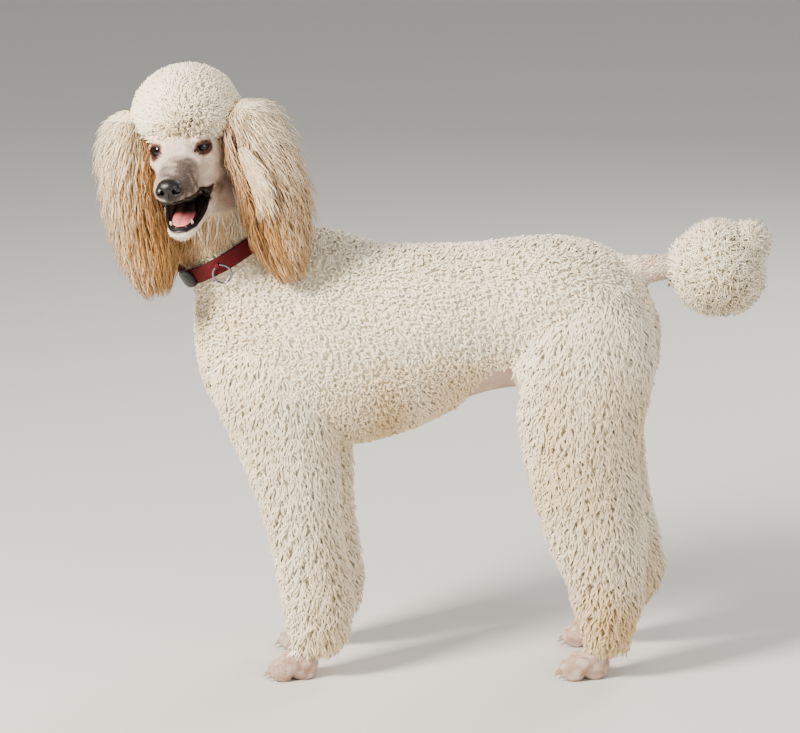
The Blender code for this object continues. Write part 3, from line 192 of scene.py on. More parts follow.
# The lids' thickness, the half sizes of the opening between them and how much of its height the left one keeps
LID_THICK, LID_WIDE, LID_TALL, LEFT_SQUINT = 0.0022, 0.0104, 0.0084, 0.70
EYE_WHITE, PUPIL_BLACK = (0.30, 0.18, 0.14), (0.02584, 0.01292, 0.01292)
TONGUE = [
    (0.058, 0.0, 0.0020, 0.0080, 0.0030, 0.0),
    (0.066, 0.0, 0.0025, 0.0125, 0.0040, 0.0),
    (0.090, 0.0, 0.0045, 0.0150, 0.0045, 0.0),
    (0.112, 0.0, 0.0080, 0.0145, 0.0042, 0.0),
    (0.126, 0.0, 0.0095, 0.0115, 0.0035, 0.0),
    (0.133, 0.0, 0.0095, 0.0055, 0.0020, 0.0),
]
# Lower teeth in the jaw frame: across, along, radius and height above the gum
TEETH = [
    (-0.0145, 0.1235, 0.0021, 0.0085),
    (-0.0072, 0.1335, 0.0014, 0.0030),
    (-0.0024, 0.1355, 0.0014, 0.0030),
    (0.0024, 0.1355, 0.0014, 0.0030),
    (0.0072, 0.1335, 0.0014, 0.0030),
    (0.0145, 0.1235, 0.0021, 0.0085),
]
# The gum's height in the jaw frame, and how deep in it the teeth stand
GUM_HEIGHT, GUM_DEPTH = 0.007, 0.004
# How square the lips' lines are, and how far they flare at their corners
LIP_BEND, LIP_FLARE = 0.77, 0.0090
# The topknot's middle and half sizes, how deep the skin lies in it, and its hairline's ends as forward and up
TOPKNOT_CENTRE, TOPKNOT_SIZE, TOPKNOT_CORE = (-0.016, 0.003, 0.036), (0.086, 0.0800, 0.076), 0.020
HAIRLINE_FRONT, HAIRLINE_BACK = (0.062, 0.0215), (-0.100, -0.012)
# Ear leather in the head frame, root to tip: forward, outward, up, half width, half thickness
LEFT_EAR = [
    (-0.012, 0.040, 0.010, 0.015, 0.0030),
    (-0.008, 0.062, 0.022, 0.022, 0.0034),
    (-0.002, 0.086, 0.012, 0.030, 0.0030),
    (0.008, 0.099, -0.022, 0.036, 0.0026),
    (0.018, 0.103, -0.062, 0.034, 0.0022),
    (0.025, 0.100, -0.098, 0.020, 0.0018),
    (0.028, 0.098, -0.112, 0.006, 0.0012),
]
RIGHT_EAR = [
    (-0.012, 0.040, 0.010, 0.015, 0.0030),
    (-0.008, 0.061, 0.020, 0.022, 0.0034),
    (-0.002, 0.078, 0.008, 0.030, 0.0030),
    (0.010, 0.083, -0.026, 0.036, 0.0026),
    (0.022, 0.081, -0.066, 0.034, 0.0022),
    (0.030, 0.076, -0.102, 0.020, 0.0018),
    (0.033, 0.074, -0.116, 0.006, 0.0012),
]
# The ear's hair as a whole, in the head frame: forward, outward, up, half length along the head, half width
LEFT_EAR_HAIR = [
    (0.000, 0.088, 0.054, 0.016, 0.012),
    (0.000, 0.091, 0.036, 0.040, 0.038),
    (0.006, 0.104, -0.010, 0.052, 0.047),
    (0.016, 0.118, -0.065, 0.054, 0.048),
    (0.026, 0.121, -0.120, 0.049, 0.045),
    (0.034, 0.124, -0.165, 0.037, 0.034),
    (0.038, 0.132, -0.200, 0.018, 0.018),
]
RIGHT_EAR_HAIR = [
    (0.000, 0.074, 0.054, 0.014, 0.012),
    (0.000, 0.077, 0.036, 0.038, 0.032),
    (0.010, 0.082, -0.010, 0.050, 0.042),
    (0.024, 0.080, -0.065, 0.054, 0.041),
    (0.034, 0.071, -0.120, 0.050, 0.042),
    (0.040, 0.064, -0.165, 0.040, 0.035),
    (0.042, 0.060, -0.203, 0.016, 0.018),
]
# Each ear's tables by its side: 1 is the dog's left, -1 its right
EAR_LEATHER = {1: LEFT_EAR, -1: RIGHT_EAR}
EAR_HAIR = {1: LEFT_EAR_HAIR, -1: RIGHT_EAR_HAIR}
# The part of the hair's way down that has a core of skin, and the core's share of the hair's own size
EAR_CORE_SPAN, EAR_CORE_SHARE = (0.12, 0.9), 0.36
# The left ear's middle in the head frame, about which both ears' own regions are measured
EAR_MIDDLE = (0.020, 0.105, -0.070)

# The collar is loose: its middle hangs forward of the neck's and its front lower than its back
COLLAR_AT, COLLAR_SLACK, COLLAR_TILT = 0.113, 0.013, math.radians(6)
COLLAR_RADIUS, COLLAR_THICK, COLLAR_WIDE = 0.0720, 0.0030, 0.0230
COLLAR_FACE = COLLAR_RADIUS + COLLAR_THICK
# The ring's middle hangs below the band's and stands out from it, and a keeper holds its top
RING_RADIUS, RING_WIRE, RING_DROP = 0.0130, 0.0016, 0.0115
RING_OUT = COLLAR_FACE + RING_WIRE + 0.0018
KEEPER_THICK, KEEPER_WIDE = 0.0012, 0.0066
BUCKLE_LONG, BUCKLE_THICK, BUCKLE_TALL = 0.032, 0.008, 0.026
RING_TURN, BUCKLE_TURN = math.radians(-86), math.radians(-40)

# Camera: what it looks at, its angles and distance, all in the axes that the body was modelled in
CAMERA_TARGET = np.array((-0.044, 0.0, 0.431))
CAMERA_AZIMUTH, CAMERA_ELEVATION, CAMERA_DISTANCE = math.radians(7), math.radians(12), 5.5
PIXELS_PER_METRE, PHOTO_WIDTH, SENSOR = 720.0, 800, 36.0

FLESH = ["torso", "neck", "head", "lower_jaw", "tail_dock", *STANCE, "paw_front_left", "paw_front_right",
         "paw_hind_left", "paw_hind_right"]


def unit(vectors):
    """Vectors divided by their own length."""
    return vectors / np.maximum(np.linalg.norm(vectors, axis=-1, keepdims=True), 1e-12)


def turned(first, second, angle):
    """Two directions at a right angle, both turned by an angle in their own plane, the second towards the first."""
    cosine, sine = math.cos(angle), math.sin(angle)
    return first * cosine - second * sine, second * cosine + first * sine


class Axes:
    """A place and three directions. A local point is the place plus each direction times its own number."""

    def __init__(self, origin, along, across, up):
        self.origin = np.asarray(origin, float)
        self.basis = np.array([along, across, up], float)

    def out(self, local):
        return self.origin + np.asarray(local, float) @ self.basis

    def turn(self, local):
        return np.asarray(local, float) @ self.basis

    def into(self, points):
        return (np.asarray(points) - self.origin) @ self.basis.T


FLOOR = Axes(FLOOR_PLACE, (math.cos(FLOOR_SLOPE), 0, math.sin(FLOOR_SLOPE)), (0, 1, 0),
             (-math.sin(FLOOR_SLOPE), 0, math.cos(FLOOR_SLOPE)))


def placed(origin, along, across, up):
    """Axes given as the body was modelled, moved to the model's own level floor and origin."""
    turned = np.array([along, across, up], float) @ FLOOR.basis.T
    return Axes(FLOOR.into(origin) - ORIGIN, *turned)


def limb_axes(start, end):
    """Axes along a straight line, with the across direction level."""
    along = unit(end - start)
    across = unit(np.array((0, 1, 0)) - along * along[1])
    return placed(start, along, across, np.cross(along, across))


def head_axes():
    """The head's axes: forwards along the muzzle, to the dog's left and up, turned, nodded and rolled."""
    forward = np.array((-math.sin(HEAD_YAW), -math.cos(HEAD_YAW), 0.0))
    up = np.array((0, 0, 1.0))
    left = np.cross(up, forward)
    forward, up = turned(forward, up, HEAD_PITCH)
    up, left = turned(up, left, HEAD_ROLL)
    return placed(HEAD_ORIGIN, forward, left, up)


def tilted(axes, place, angle):
    """Axes at a place in other axes, nodded down by an angle."""
    along, up = turned(axes.basis[0], axes.basis[2], angle)
    return Axes(axes.out(place), along, axes.basis[1], up)


BODY = placed((0, 0, 0), (1, 0, 0), (0, 1, 0), (0, 0, 1))
UPRIGHT = placed((0, 0, 0), (0, 0, 1), (0, 1, 0), (1, 0, 0))
HEAD_AXES = head_axes()
NECK_AXES = limb_axes(NECK_BASE, NECK_END)
TAIL_AXES = limb_axes(TAIL_ROOT, TAIL_TIP)
JAW_AXES = tilted(HEAD_AXES, JAW_HINGE, JAW_OPEN)
GAPE_AXES = tilted(HEAD_AXES, MOUTH_CORNER, JAW_OPEN * 0.52)
# Each lip's line: its axes, where it starts, how far forward it reaches, its half width, its height and its fall
LIPS = [(JAW_AXES, 0.044, 0.094, 0.0285, 0.0130, 0.0055), (HEAD_AXES, 0.032, 0.116, 0.0255, -0.0535, 0.0005)]
# A point up to this share of the way out from a hollow's middle lies on its wall
WALL_REACH = 1.04
# The mouth's inside is cut in the jaw and in the muzzle: whose axes, middle and half sizes
MOUTH_HOLLOWS = [
    (JAW_AXES, (0.090, 0, 0.0150), (0.043, 0.0190, 0.0175)),
    (HEAD_AXES, (0.084, 0, -0.0575), (0.050, 0.0175, 0.0150)),
]


def leg_rows(stance):
    """A leg's stations on its own side, bent so that its foot stands where the dog put it."""
    stations, _, _ = FEET[stance[:4]]
    side, along, across, set_back = STANCE[stance]
    rows = np.array(stations, float)
    share = (1 - rows[:, 0] / rows[-1, 0]) ** PAW_BEND
    rows[:, 1] = side * rows[:, 1] + across * share
    rows[:, 2] += along * share + set_back * np.exp(-(((rows[:, 0] - HOCK_HEIGHT) / HOCK_REACH) ** 2))
    return rows


LIMBS = {"torso": (BODY, np.array(TORSO)), "neck": (NECK_AXES, np.array(NECK))}
LIMBS.update({stance: (UPRIGHT, leg_rows(stance)) for stance in STANCE})
LIMBS["tail_dock"] = (TAIL_AXES, np.array(TAIL))


def rows_at(stations, fractions):
    """The stations' values at fractions of the way along, on a Catmull-Rom curve through them."""
    rows = np.asarray(stations, float)
    padded = np.vstack([2 * rows[0] - rows[1], rows, 2 * rows[-1] - rows[-2]])
    place = np.clip(np.asarray(fractions, float), 0, 1) * (len(rows) - 1)
    first = np.minimum(place.astype(int), len(rows) - 2)
    f = (place - first)[..., None]
    a, b, c, d = (padded[first + k] for k in range(4))
    return 0.5 * (2 * b + (c - a) * f + (2 * a - 5 * b + 4 * c - d) * f**2 + (3 * b - a - 3 * c + d) * f**3)


def ripple(points, wavelength, seed):
    """Smooth noise from -1 to 1: the mean of six sines along seeded directions, at about one wavelength."""
    generator = np.random.default_rng(seed)
    waves = unit(generator.normal(size=(6, 3))) * (math.tau / wavelength) * generator.uniform(0.6, 1.5, (6, 1))
    phase = generator.uniform(0, math.tau, 6)
    return np.clip(np.sin(points @ waves.T + phase).mean(axis=-1) * 1.8, -1, 1)


def ramp(values, low, high):
    """Goes smoothly from 0 at low to 1 at high: t squared times (3 - 2t)."""
    t = np.clip((values - low) / (high - low), 0, 1)
    return t * t * (3 - 2 * t)


def at(value, points):
    """A value worked out at points, where it's given as a function of place, or else as it is."""
    return value(points) if callable(value) else value


# Closed surfaces as arrays: points, faces of four and faces of three


def full_turn(count):
    """Angles spread evenly over one turn."""
    return np.linspace(0, math.tau, count, endpoint=False)


def circle(radius, sides=12):
    """A round profile."""
    turn = full_turn(sides)
    return np.stack([np.cos(turn), np.sin(turn)], axis=-1) * radius


def signed_power(values, power):
    """Values raised to a power with their signs kept, which makes a circle's sine and cosine a rounded square's."""
    return np.sign(values) * np.abs(values) ** power


def tube(grid):
    """Rings of points skinned one to the next, each end closed by a fan about its middle, faces outwards."""
    rings, sides = grid.shape[:2]
    points = np.concatenate([grid.reshape(-1, 3), grid[:1].mean(axis=1), grid[-1:].mean(axis=1)])
    index = np.arange(rings * sides).reshape(rings, sides)
    after = np.roll(index, -1, axis=1)
    quads = np.stack([index[:-1], after[:-1], after[1:], index[1:]], axis=-1).reshape(-1, 4)
    ends = rings * sides + np.zeros((2, sides), int) + [[0], [1]]
    triangles = np.concatenate([np.stack([after[0], index[0], ends[0]], axis=-1),
                                np.stack([index[-1], after[-1], ends[1]], axis=-1)])
    return outwards(points, quads, triangles)


def hoop(grid):
    """Rings of points skinned one to the next and the last to the first, as a closed ring, faces outwards."""
    rings, sides = grid.shape[:2]
    index = np.arange(rings * sides).reshape(rings, sides)
    after, ahead = np.roll(index, -1, axis=1), np.roll(index, -1, axis=0)
    both = np.roll(after, -1, axis=0)
    quads = np.stack([index, after, both, ahead], axis=-1).reshape(-1, 4)
    return outwards(grid.reshape(-1, 3), quads, np.zeros((0, 3), int))


def outwards(points, quads, triangles):
    """Turns the faces round if the volume that they enclose, summed over corners' triple products, is negative."""
    faces = np.concatenate([quads[:, :3], quads[:, [0, 2, 3]], triangles])
    a, b, c = (points[faces[:, k]] for k in range(3))
    if np.einsum("ij,ij->i", a - points[0], np.cross(b - points[0], c - points[0])).sum() < 0:
        quads, triangles = quads[:, ::-1], triangles[:, ::-1]
    return points, quads, triangles


def loft(axes, stations, rings, sides, inset=0.0):
    """An elliptical loft: rings about a curved centre line, drawn in by a share of the coat's depth."""
    rows = rows_at(stations, np.linspace(0, 1, rings))
    angle = full_turn(sides)
    across, up = (np.maximum(rows[:, k] - inset * rows[:, 5], THINNEST) for k in (3, 4))
    x = np.repeat(rows[:, :1], sides, axis=1)
    y = rows[:, 1:2] + across[:, None] * np.cos(angle)
    z = rows[:, 2:3] + up[:, None] * np.sin(angle)
    return tube(axes.out(np.stack([x, y, z], axis=-1)))


def ball(axes, centre, size, rings=24, sides=36):
    """An ellipsoid: circles of latitude scaled to its three half sizes."""
    latitude = np.linspace(0.03, math.pi - 0.03, rings)[:, None]
    turn = full_turn(sides)
    x = np.cos(latitude) * np.ones(sides)
    y, z = np.sin(latitude) * np.cos(turn), np.sin(latitude) * np.sin(turn)
    return tube(axes.out(np.array(centre) + np.stack([x, y, z], axis=-1) * np.array(size)))


def directions_along(path, closed=False):
    """The unit direction of a path at each of its points, from the points to either side."""
    if closed:
        return unit(np.roll(path, -1, axis=0) - np.roll(path, 1, axis=0))
    return unit(np.gradient(path, axis=0))


def swept(path, reference, profile, closed=False):
    """A profile carried along a path: its first number goes across the reference direction, its second along it."""
    forward = directions_along(path, closed)
    wide = unit(np.cross(forward, reference))
    deep = np.cross(wide, forward)
    profile = np.broadcast_to(profile, (len(path), *np.shape(profile)[-2:]))
    grid = path[:, None] + wide[:, None] * profile[..., :1] + deep[:, None] * profile[..., 1:]
    return hoop(grid) if closed else tube(grid)


def tapered(path, reference, radii, sides=12):
    """A round tube along a path, with its own radius at each of the path's points."""
    return swept(path, reference, circle(1.0, sides) * radii[:, None, None])


def merged(parts):
    """Several closed surfaces as one set of arrays."""
    shifts = np.cumsum([0] + [len(p) for p, _, _ in parts[:-1]])
    return (np.concatenate([p for p, _, _ in parts]),
            np.concatenate([q + s for (_, q, _), s in zip(parts, shifts)]),
            np.concatenate([t + s for (_, _, t), s in zip(parts, shifts)]))


def new_object(name, points, quads, triangles):
    """Puts arrays of points and faces into a mesh object at the origin."""
    mesh = bpy.data.meshes.new(name)
    mesh.vertices.add(len(points))
    mesh.vertices.foreach_set("co", np.asarray(points, np.float32).ravel())
    corners = np.concatenate([quads.ravel(), triangles.ravel()]).astype(np.int32)
    mesh.loops.add(len(corners))
    mesh.loops.foreach_set("vertex_index", corners)
    starts = np.concatenate([np.arange(len(quads)) * 4, quads.size + np.arange(len(triangles)) * 3])
    mesh.polygons.add(len(starts))
    mesh.polygons.foreach_set("loop_start", starts.astype(np.int32))
    mesh.polygons.foreach_set("use_smooth", np.ones(len(starts), bool))
    mesh.update(calc_edges=True)
    obj = bpy.data.objects.new(name, mesh)
    bpy.context.scene.collection.objects.link(obj)
    return obj


def read(items, key, kind=np.float32, width=1):
    """One value of each of a mesh's items, or one row of values, as an array."""
    values = np.zeros(len(items) * width, kind)
    items.foreach_get(key, values)
    return values.reshape(-1, width) if width > 1 else values


def vertices_of(obj):
    return read(obj.data.vertices, "co", width=3).astype(float)


def set_attribute(obj, name, values):
    """Stores one number a vertex, which a material reads by name."""
    attribute = obj.data.attributes.new(name, "FLOAT", "POINT")
    attribute.data.foreach_set("value", np.asarray(values, np.float32))


def apply_modifiers(obj):
    """Puts what an object's modifiers make in place of its mesh."""
    graph = bpy.context.evaluated_depsgraph_get()
    made = bpy.data.meshes.new_from_object(obj.evaluated_get(graph))
    obj.modifiers.clear()
    obj.data = made
    return obj


def melted(name, parts, voxel, rounds):
    """Closed surfaces melted into one smooth skin by a voxel remesh and rounds of smoothing."""
    obj = new_object(name, *merged(parts))
    remesh = obj.modifiers.new("Melt", "REMESH")
    remesh.mode, remesh.voxel_size = "VOXEL", voxel
    soften = obj.modifiers.new("Soften", "SMOOTH")
    soften.factor, soften.iterations = 0.5, rounds
    return apply_modifiers(obj)


def combined(obj, others, operation):
    """Joins other closed objects to an object in one surface, or cuts them out of it, and removes them."""
    for other in others:
        modifier = obj.modifiers.new("Combine", "BOOLEAN")
        modifier.operation, modifier.solver, modifier.object = operation, "MANIFOLD", other
        apply_modifiers(obj)
        bpy.data.objects.remove(other)
    return obj


def carve(obj, parts):
    """Cuts closed surfaces, given as arrays, out of an object."""
    return combined(obj, [new_object("cutter", *part) for part in parts], "DIFFERENCE")


def finish(obj, material, stands_for=()):
    """Gives a piece its material and the body that it rides on, and hides the nodes that it stands for."""
    obj.data.materials.clear()
    obj.data.materials.append(material)
    obj.data.shade_smooth()
    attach(obj, "root")
    if stands_for:
        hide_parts(*stands_for)
    return obj


# Materials


class Socket:
    """A node's output that sums, differences and products can be written with, each as a Math node."""

    def __init__(self, shader, output):
        self.shader, self.output = shader, output

    def math(self, operation, *others):
        inputs = dict(enumerate((self, *others)))
        return self.shader.node("ShaderNodeMath", {"operation": operation}, inputs)

    def __add__(self, other):
        return self.math("ADD", other)

    def __mul__(self, other):
        return self.math("MULTIPLY", other)

    def __sub__(self, other):
        return self.math("SUBTRACT", other)

    def __rsub__(self, other):
        return self.shader.node("ShaderNodeMath", {"operation": "SUBTRACT"}, {0: other, 1: self})

    __radd__, __rmul__ = __add__, __mul__

    def clamp(self):
        return self.math("MINIMUM", 1.0).math("MAXIMUM", 0.0)

    def edge(self, slope, start):
        """The number times a slope, less a start, held between 0 and 1."""
        return (self * slope - start).clamp()


class Shader:
    """A material with a Principled surface, and one way to add any other node."""

    def __init__(self, name, **constants):
        self.material = bpy.data.materials.new(name)
        self.material.use_nodes = True
        self.tree = self.material.node_tree
        self.surface = self.tree.nodes["Principled BSDF"]
        for key, value in constants.items():
            self.surface.inputs[key.replace("_", " ").title().replace("Ior", "IOR")].default_value = value

    def node(self, kind, settings=None, inputs=None, output=0):
        """Adds a node: its settings are set first, then its sockets get values or links."""
        made = self.tree.nodes.new(kind)
        for key, value in (settings or {}).items():
            setattr(made, key, value)
        for key, value in (inputs or {}).items():
            if isinstance(value, Socket):
                self.tree.links.new(value.output, made.inputs[key])
            else:
                made.inputs[key].default_value = value
        return Socket(self, made.outputs[output])

    def attribute(self, name):
        return self.node("ShaderNodeAttribute", {"attribute_name": name}, output=2)

    def place(self):
        return self.node("ShaderNodeTexCoord", output=3)

    def noise(self, scale, detail=2.0, vector=None, roughness=0.5):
        inputs = {"Vector": vector or self.place(), "Scale": scale, "Detail": detail, "Roughness": roughness}
        return self.node("ShaderNodeTexNoise", {}, inputs)

    def mix(self, share, first, second):
        """A colour between two others, each as rgb takes it."""
        return self.node("ShaderNodeMix", {"data_type": "RGBA"}, {0: share, 6: rgb(first), 7: rgb(second)}, output=2)

    def tint(self, colour, amount):
        """A colour made brighter or darker by a number about 1."""
        vector = colour if isinstance(colour, Socket) else rgb(colour)[:3]
        return self.node("ShaderNodeVectorMath", {"operation": "SCALE"}, {0: vector, 3: amount})

    def feed(self, **sockets):
        for key, value in sockets.items():
            self.tree.links.new(value.output, self.surface.inputs[key.replace("_", " ").title()])
        return self.material

    def bump(self, height, distance, strength=1.0):
        return self.node("ShaderNodeBump", {}, {"Height": height, "Distance": distance, "Strength": strength})


def rgb(colour):
    """A colour as the linear light that a shader wants: given as on a screen, from 0 to 1, or by its setting's name.
    A socket stays as it is."""
    if isinstance(colour, Socket):
        return colour
    values = np.array(getattr(settings(), colour) if isinstance(colour, str) else colour, float)
    linear = np.where(values <= 0.04045, values / 12.92, ((values + 0.055) / 1.055) ** 2.4)
    return (*linear, 1.0)


def settings():
    return bpy.context.scene.poodle


def hair_colour(shader):
    """The coat's colour from its markings: white to cream on the body, cream to tan on the ears, pinkish grey where it
    is shaven, brown along the muzzle's bridge and round the eyes; some of these browns and creams are painted shade."""
    gold, ear, bare, bridge, rim = (shader.attribute(part) for part in ("gold", "ear", "bare", "bridge", "rim"))
    # The body's cream is partly its own colour and partly painted shade low on the flanks, body and hocks.
    body = shader.mix(gold, "coat_white", "coat_cream")
    # The ears' tan is partly their own colour and partly painted shade.
    ears = shader.mix(gold, "ear_cream", "ear_tan")
    mottle = shader.noise(70.0, 4.0, None, 0.65)
    shaven = shader.mix(mottle.edge(2.2, 0.6), "shaven_pink", "shaven_white")
    # The bridge's brown also serves as painted shade down the muzzle's left side.
    shaven = shader.mix(bridge, shaven, "bridge_brown")
    # The eyes' pinkish brown surround, also on the cheeks, feet and flank's fold; on the feet partly painted shade.
    shaven = shader.mix((rim * 2.0).clamp(), shaven, "rim_brown")
    shaven = shader.mix(rim.edge(2.5, 1.5), shaven, "lid_brown")
    return shader.mix(bare, shader.mix(ear, body, ears), shaven)


def coat_material():
    """The one material of all hair: a little darker at a lock's root as painted shade, streaked along it, with a soft
    sheen.
    """
    made = bpy.data.materials.get("coat_hair")
    if made:
        return made
    shader = Shader("coat_hair", roughness=0.6, specular_ior_level=0.2, sheen_weight=0.2, sheen_roughness=0.4)
    rise, tone, across = (shader.attribute(part) for part in ("rise", "tone", "across"))
    strands = shader.node("ShaderNodeCombineXYZ", {}, {0: across * 3.0, 1: rise * 1.3, 2: tone * 60.0})
    streak = shader.noise(2.0, 3.0, strands, 0.65)
    # The rise term darkens each lock towards its root, as painted shade among the locks; tone and streak are the hair's
    # own variation.
    light = 0.92 + rise * 0.06 + tone * 0.06 + streak * 0.07
    colour = shader.tint(hair_colour(shader), light)
    return shader.feed(base_color=colour, normal=shader.bump(streak, 0.0005, 0.4))


def skin_material():
    """Skin and the shortest hair: the coat's own colours with a fine grain, dark at the lips, and in the mouth a dark
    lining that is also painted shade.
    """
    shader = Shader("shaven_skin", specular_ior_level=0.35)
    dark, wet = shader.attribute("dark"), shader.attribute("wet")
    fine = shader.noise(900.0, 2.0, None, 0.6)
    speckled = shader.tint(hair_colour(shader), 0.80 + fine * 0.3)
    # Between the lips the mouth's lining takes over: partly its own dark colour, partly painted shade inside the mouth.
    lining = shader.mix(wet, "lip_black", "mouth_lining")
    colour = shader.mix(dark, speckled, lining)
    rough = 0.75 - dark * 0.4
    return shader.feed(base_color=colour, roughness=rough, normal=shader.bump(fine, 0.0006, 0.6))


def plain_material(name, colour, roughness, grain_scale, grain_depth, variation=0.15, **constants):
    """One finish with a fine grain that changes its tone and its bump."""
    shader = Shader(name, roughness=roughness, **constants)
    grain = shader.noise(grain_scale, 3.0)
    toned = shader.tint(colour, 1.0 - variation / 2 + grain * variation)
    return shader.feed(base_color=toned, normal=shader.bump(grain, grain_depth))


# What the coat does at a place


def limb_fields(points):
    """For each limb: how far outside its coat each point lies, its share of the way along, its turn and coat depth."""
    fields = {}
    for name, (axes, rows) in LIMBS.items():
        table = rows_at(rows, np.linspace(0, 1, 80))
        local = axes.into(points)
        at = np.clip(local[:, 0], table[0, 0], table[-1, 0])
        y0, z0, half_y, half_z, coat = (np.interp(at, table[:, 0], table[:, k]) for k in range(1, 6))
        y, z = local[:, 1] - y0, local[:, 2] - z0
        beyond = np.abs(local[:, 0] - at)
        outside = (np.hypot(y / half_y, z / half_z) - 1) * np.minimum(half_y, half_z) + beyond
        share = (at - table[0, 0]) / (table[-1, 0] - table[0, 0])
        fields[name] = (outside, share, np.arctan2(z / half_z, y / half_y), coat)
    return fields


def nearest_limb(points):
    """The limb whose coat each point is nearest to, as its place in LIMBS, and how far outside that coat it lies."""
    outside = np.array([field[0] for field in limb_fields(points).values()])
    return outside.argmin(axis=0), outside.min(axis=0)


def ear_share(points, size):
    """How far a point is from the nearer ear's middle, as a share of the way to the surface of a ball about it."""
    x, y, z = EAR_MIDDLE
    return np.min([ball_share(points, HEAD_AXES, (x, side * y, z), size) for side in (1, -1)], axis=0)


def ball_share(points, axes, centre, size):
    """How far a point is from a ball's middle, as a share of the way to its surface."""
    return np.linalg.norm((axes.into(points) - np.array(centre)) / np.array(size), axis=-1)


def hairline(points):
    """How far a point lies above the line where the topknot starts, in the head's own axes."""
    local = HEAD_AXES.into(points)
    front, back = np.array(HAIRLINE_FRONT), np.array(HAIRLINE_BACK)
    slope = unit(np.array((back[1] - front[1], front[0] - back[0])))
    return (local[:, 0] - front[0]) * slope[0] + (local[:, 2] - front[1]) * slope[1]


def gold_and_shade(points):
    """How warm the coat is, from 0 to 1: low on flanks, rump, tail and chest, down the legs' backs, at hocks and
    wrists, over the throat, at the topknot's front and in soft patches. On the lower flanks, low on the body and legs,
    at the hocks and over the throat it is partly the coat's own cream and partly painted shade."""
    body = BODY.into(points)
    x, z = body[:, 0], body[:, 2]
    patches = 0.5 + 0.5 * ripple(points, 0.11, 3)
    fine = 0.5 + 0.5 * ripple(points, 0.022, 4)
    # The lower flank's warmth: partly the coat's own cream, partly painted shade.
    flank = ramp(-z, -0.50, -0.38) * ramp(x, -0.20, -0.02) * ramp(-x, -0.16, -0.06) * ramp(z, 0.30, 0.36)
    # The hock's warmth: partly the coat's own cream, partly painted shade.
    hock = ramp(x, 0.19, 0.27) * ramp(-z, -0.22, -0.10)
    wrist = ramp(x, -0.18, -0.12) * ramp(-x, 0.02, 0.10) * ramp(-z, -0.26, -0.12)
    rump = ramp(x, 0.12, 0.20) * ramp(-z, -0.56, -0.40) * ramp(z, 0.24, 0.34)
    tail = ramp(x, 0.33, 0.40) * ramp(-z, -0.60, -0.53)
    chest = ramp(-x, 0.16, 0.26) * ramp(-z, -0.60, -0.50)
    # The throat's tan is partly its own and partly painted shade.
    throat = throat_tan_and_shade(points)
    near_line = ramp(-np.abs(hairline(points) - 0.008), -0.024, -0.004)
    fringe = 0.35 * ramp(HEAD_AXES.into(points)[:, 0], 0.010, 0.045) * near_line
    # Warmer low on the body and legs, more so towards the rump: partly own cream, partly painted shade.
    lower = 0.30 * ramp(-z, -0.50, -0.25) * (0.4 + 0.6 * ramp(x, -0.16, 0.16))
    amount = 0.85 * flank + 0.50 * hock + 0.5 * wrist + 0.35 * (rump + tail) + 0.3 * chest + throat + fringe + lower
    return np.clip(amount * (0.4 + 0.8 * patches) + 0.25 * patches * fine, 0, 1)


def throat_marking(points):
    """The tan hair that hangs over the throat: above the collar, below the topknot and behind the shaven face."""
    above = ramp(collar_axes().into(points)[:, 2], 0.012, 0.030) * ramp(-BODY.into(points)[:, 2], -0.80, -0.78)
    behind = ramp(-HEAD_AXES.into(points)[:, 0], 0.010, 0.030)
    under = ramp(-JAW_AXES.into(points)[:, 2], 0.024, 0.030)
    return above * np.maximum(behind, under) * ramp(-hairline(points), -0.002, 0.004) * (1 - bareness(points))


def throat_tan_and_shade(points):
    """How tan the throat's hair is, partly its own tan and partly painted shade: most at the front, little at the nape.
    """
    return throat_marking(points) * ramp(NECK_AXES.into(points)[:, 2], -0.045, 0.010)


def bareness(points):
    """How short the coat is, from 0 to 1: the face, feet and tail root are shaven, the fold of the flank is thin."""
    head = HEAD_AXES.into(points)
    x, y, _ = head.T
    front = ramp(x, -0.050, -0.020) * ramp(-hairline(points), -0.002, 0.001) * ramp(-np.abs(y), -0.060, -0.052)
    face = front * ramp(JAW_AXES.into(points)[:, 2], -0.034, -0.026)
    paws = 1 - ramp(points[:, 2], 0.040, 0.052)
    tail = TAIL_AXES.into(points)
    dock = ramp(tail[:, 0], 0.018, 0.034) * ramp(-np.hypot(tail[:, 1], tail[:, 2]), -0.040, -0.030)
    body = BODY.into(points)
    under = rows_at(LIMBS["torso"][1], np.interp(body[:, 0], LIMBS["torso"][1][:, 0], np.linspace(0, 1, len(TORSO))))
    low = body[:, 2] - (under[:, 2] - under[:, 4])
    reach = 0.056 * ramp(body[:, 0], 0.000, 0.100)
    fold = ramp(reach - low, -0.002, 0.008) * ramp(-body[:, 0], -0.150, -0.125) * (body[:, 2] > 0.33)
    fold *= np.abs(low) < 0.07
    return np.maximum.reduce([face, paws, dock, fold])


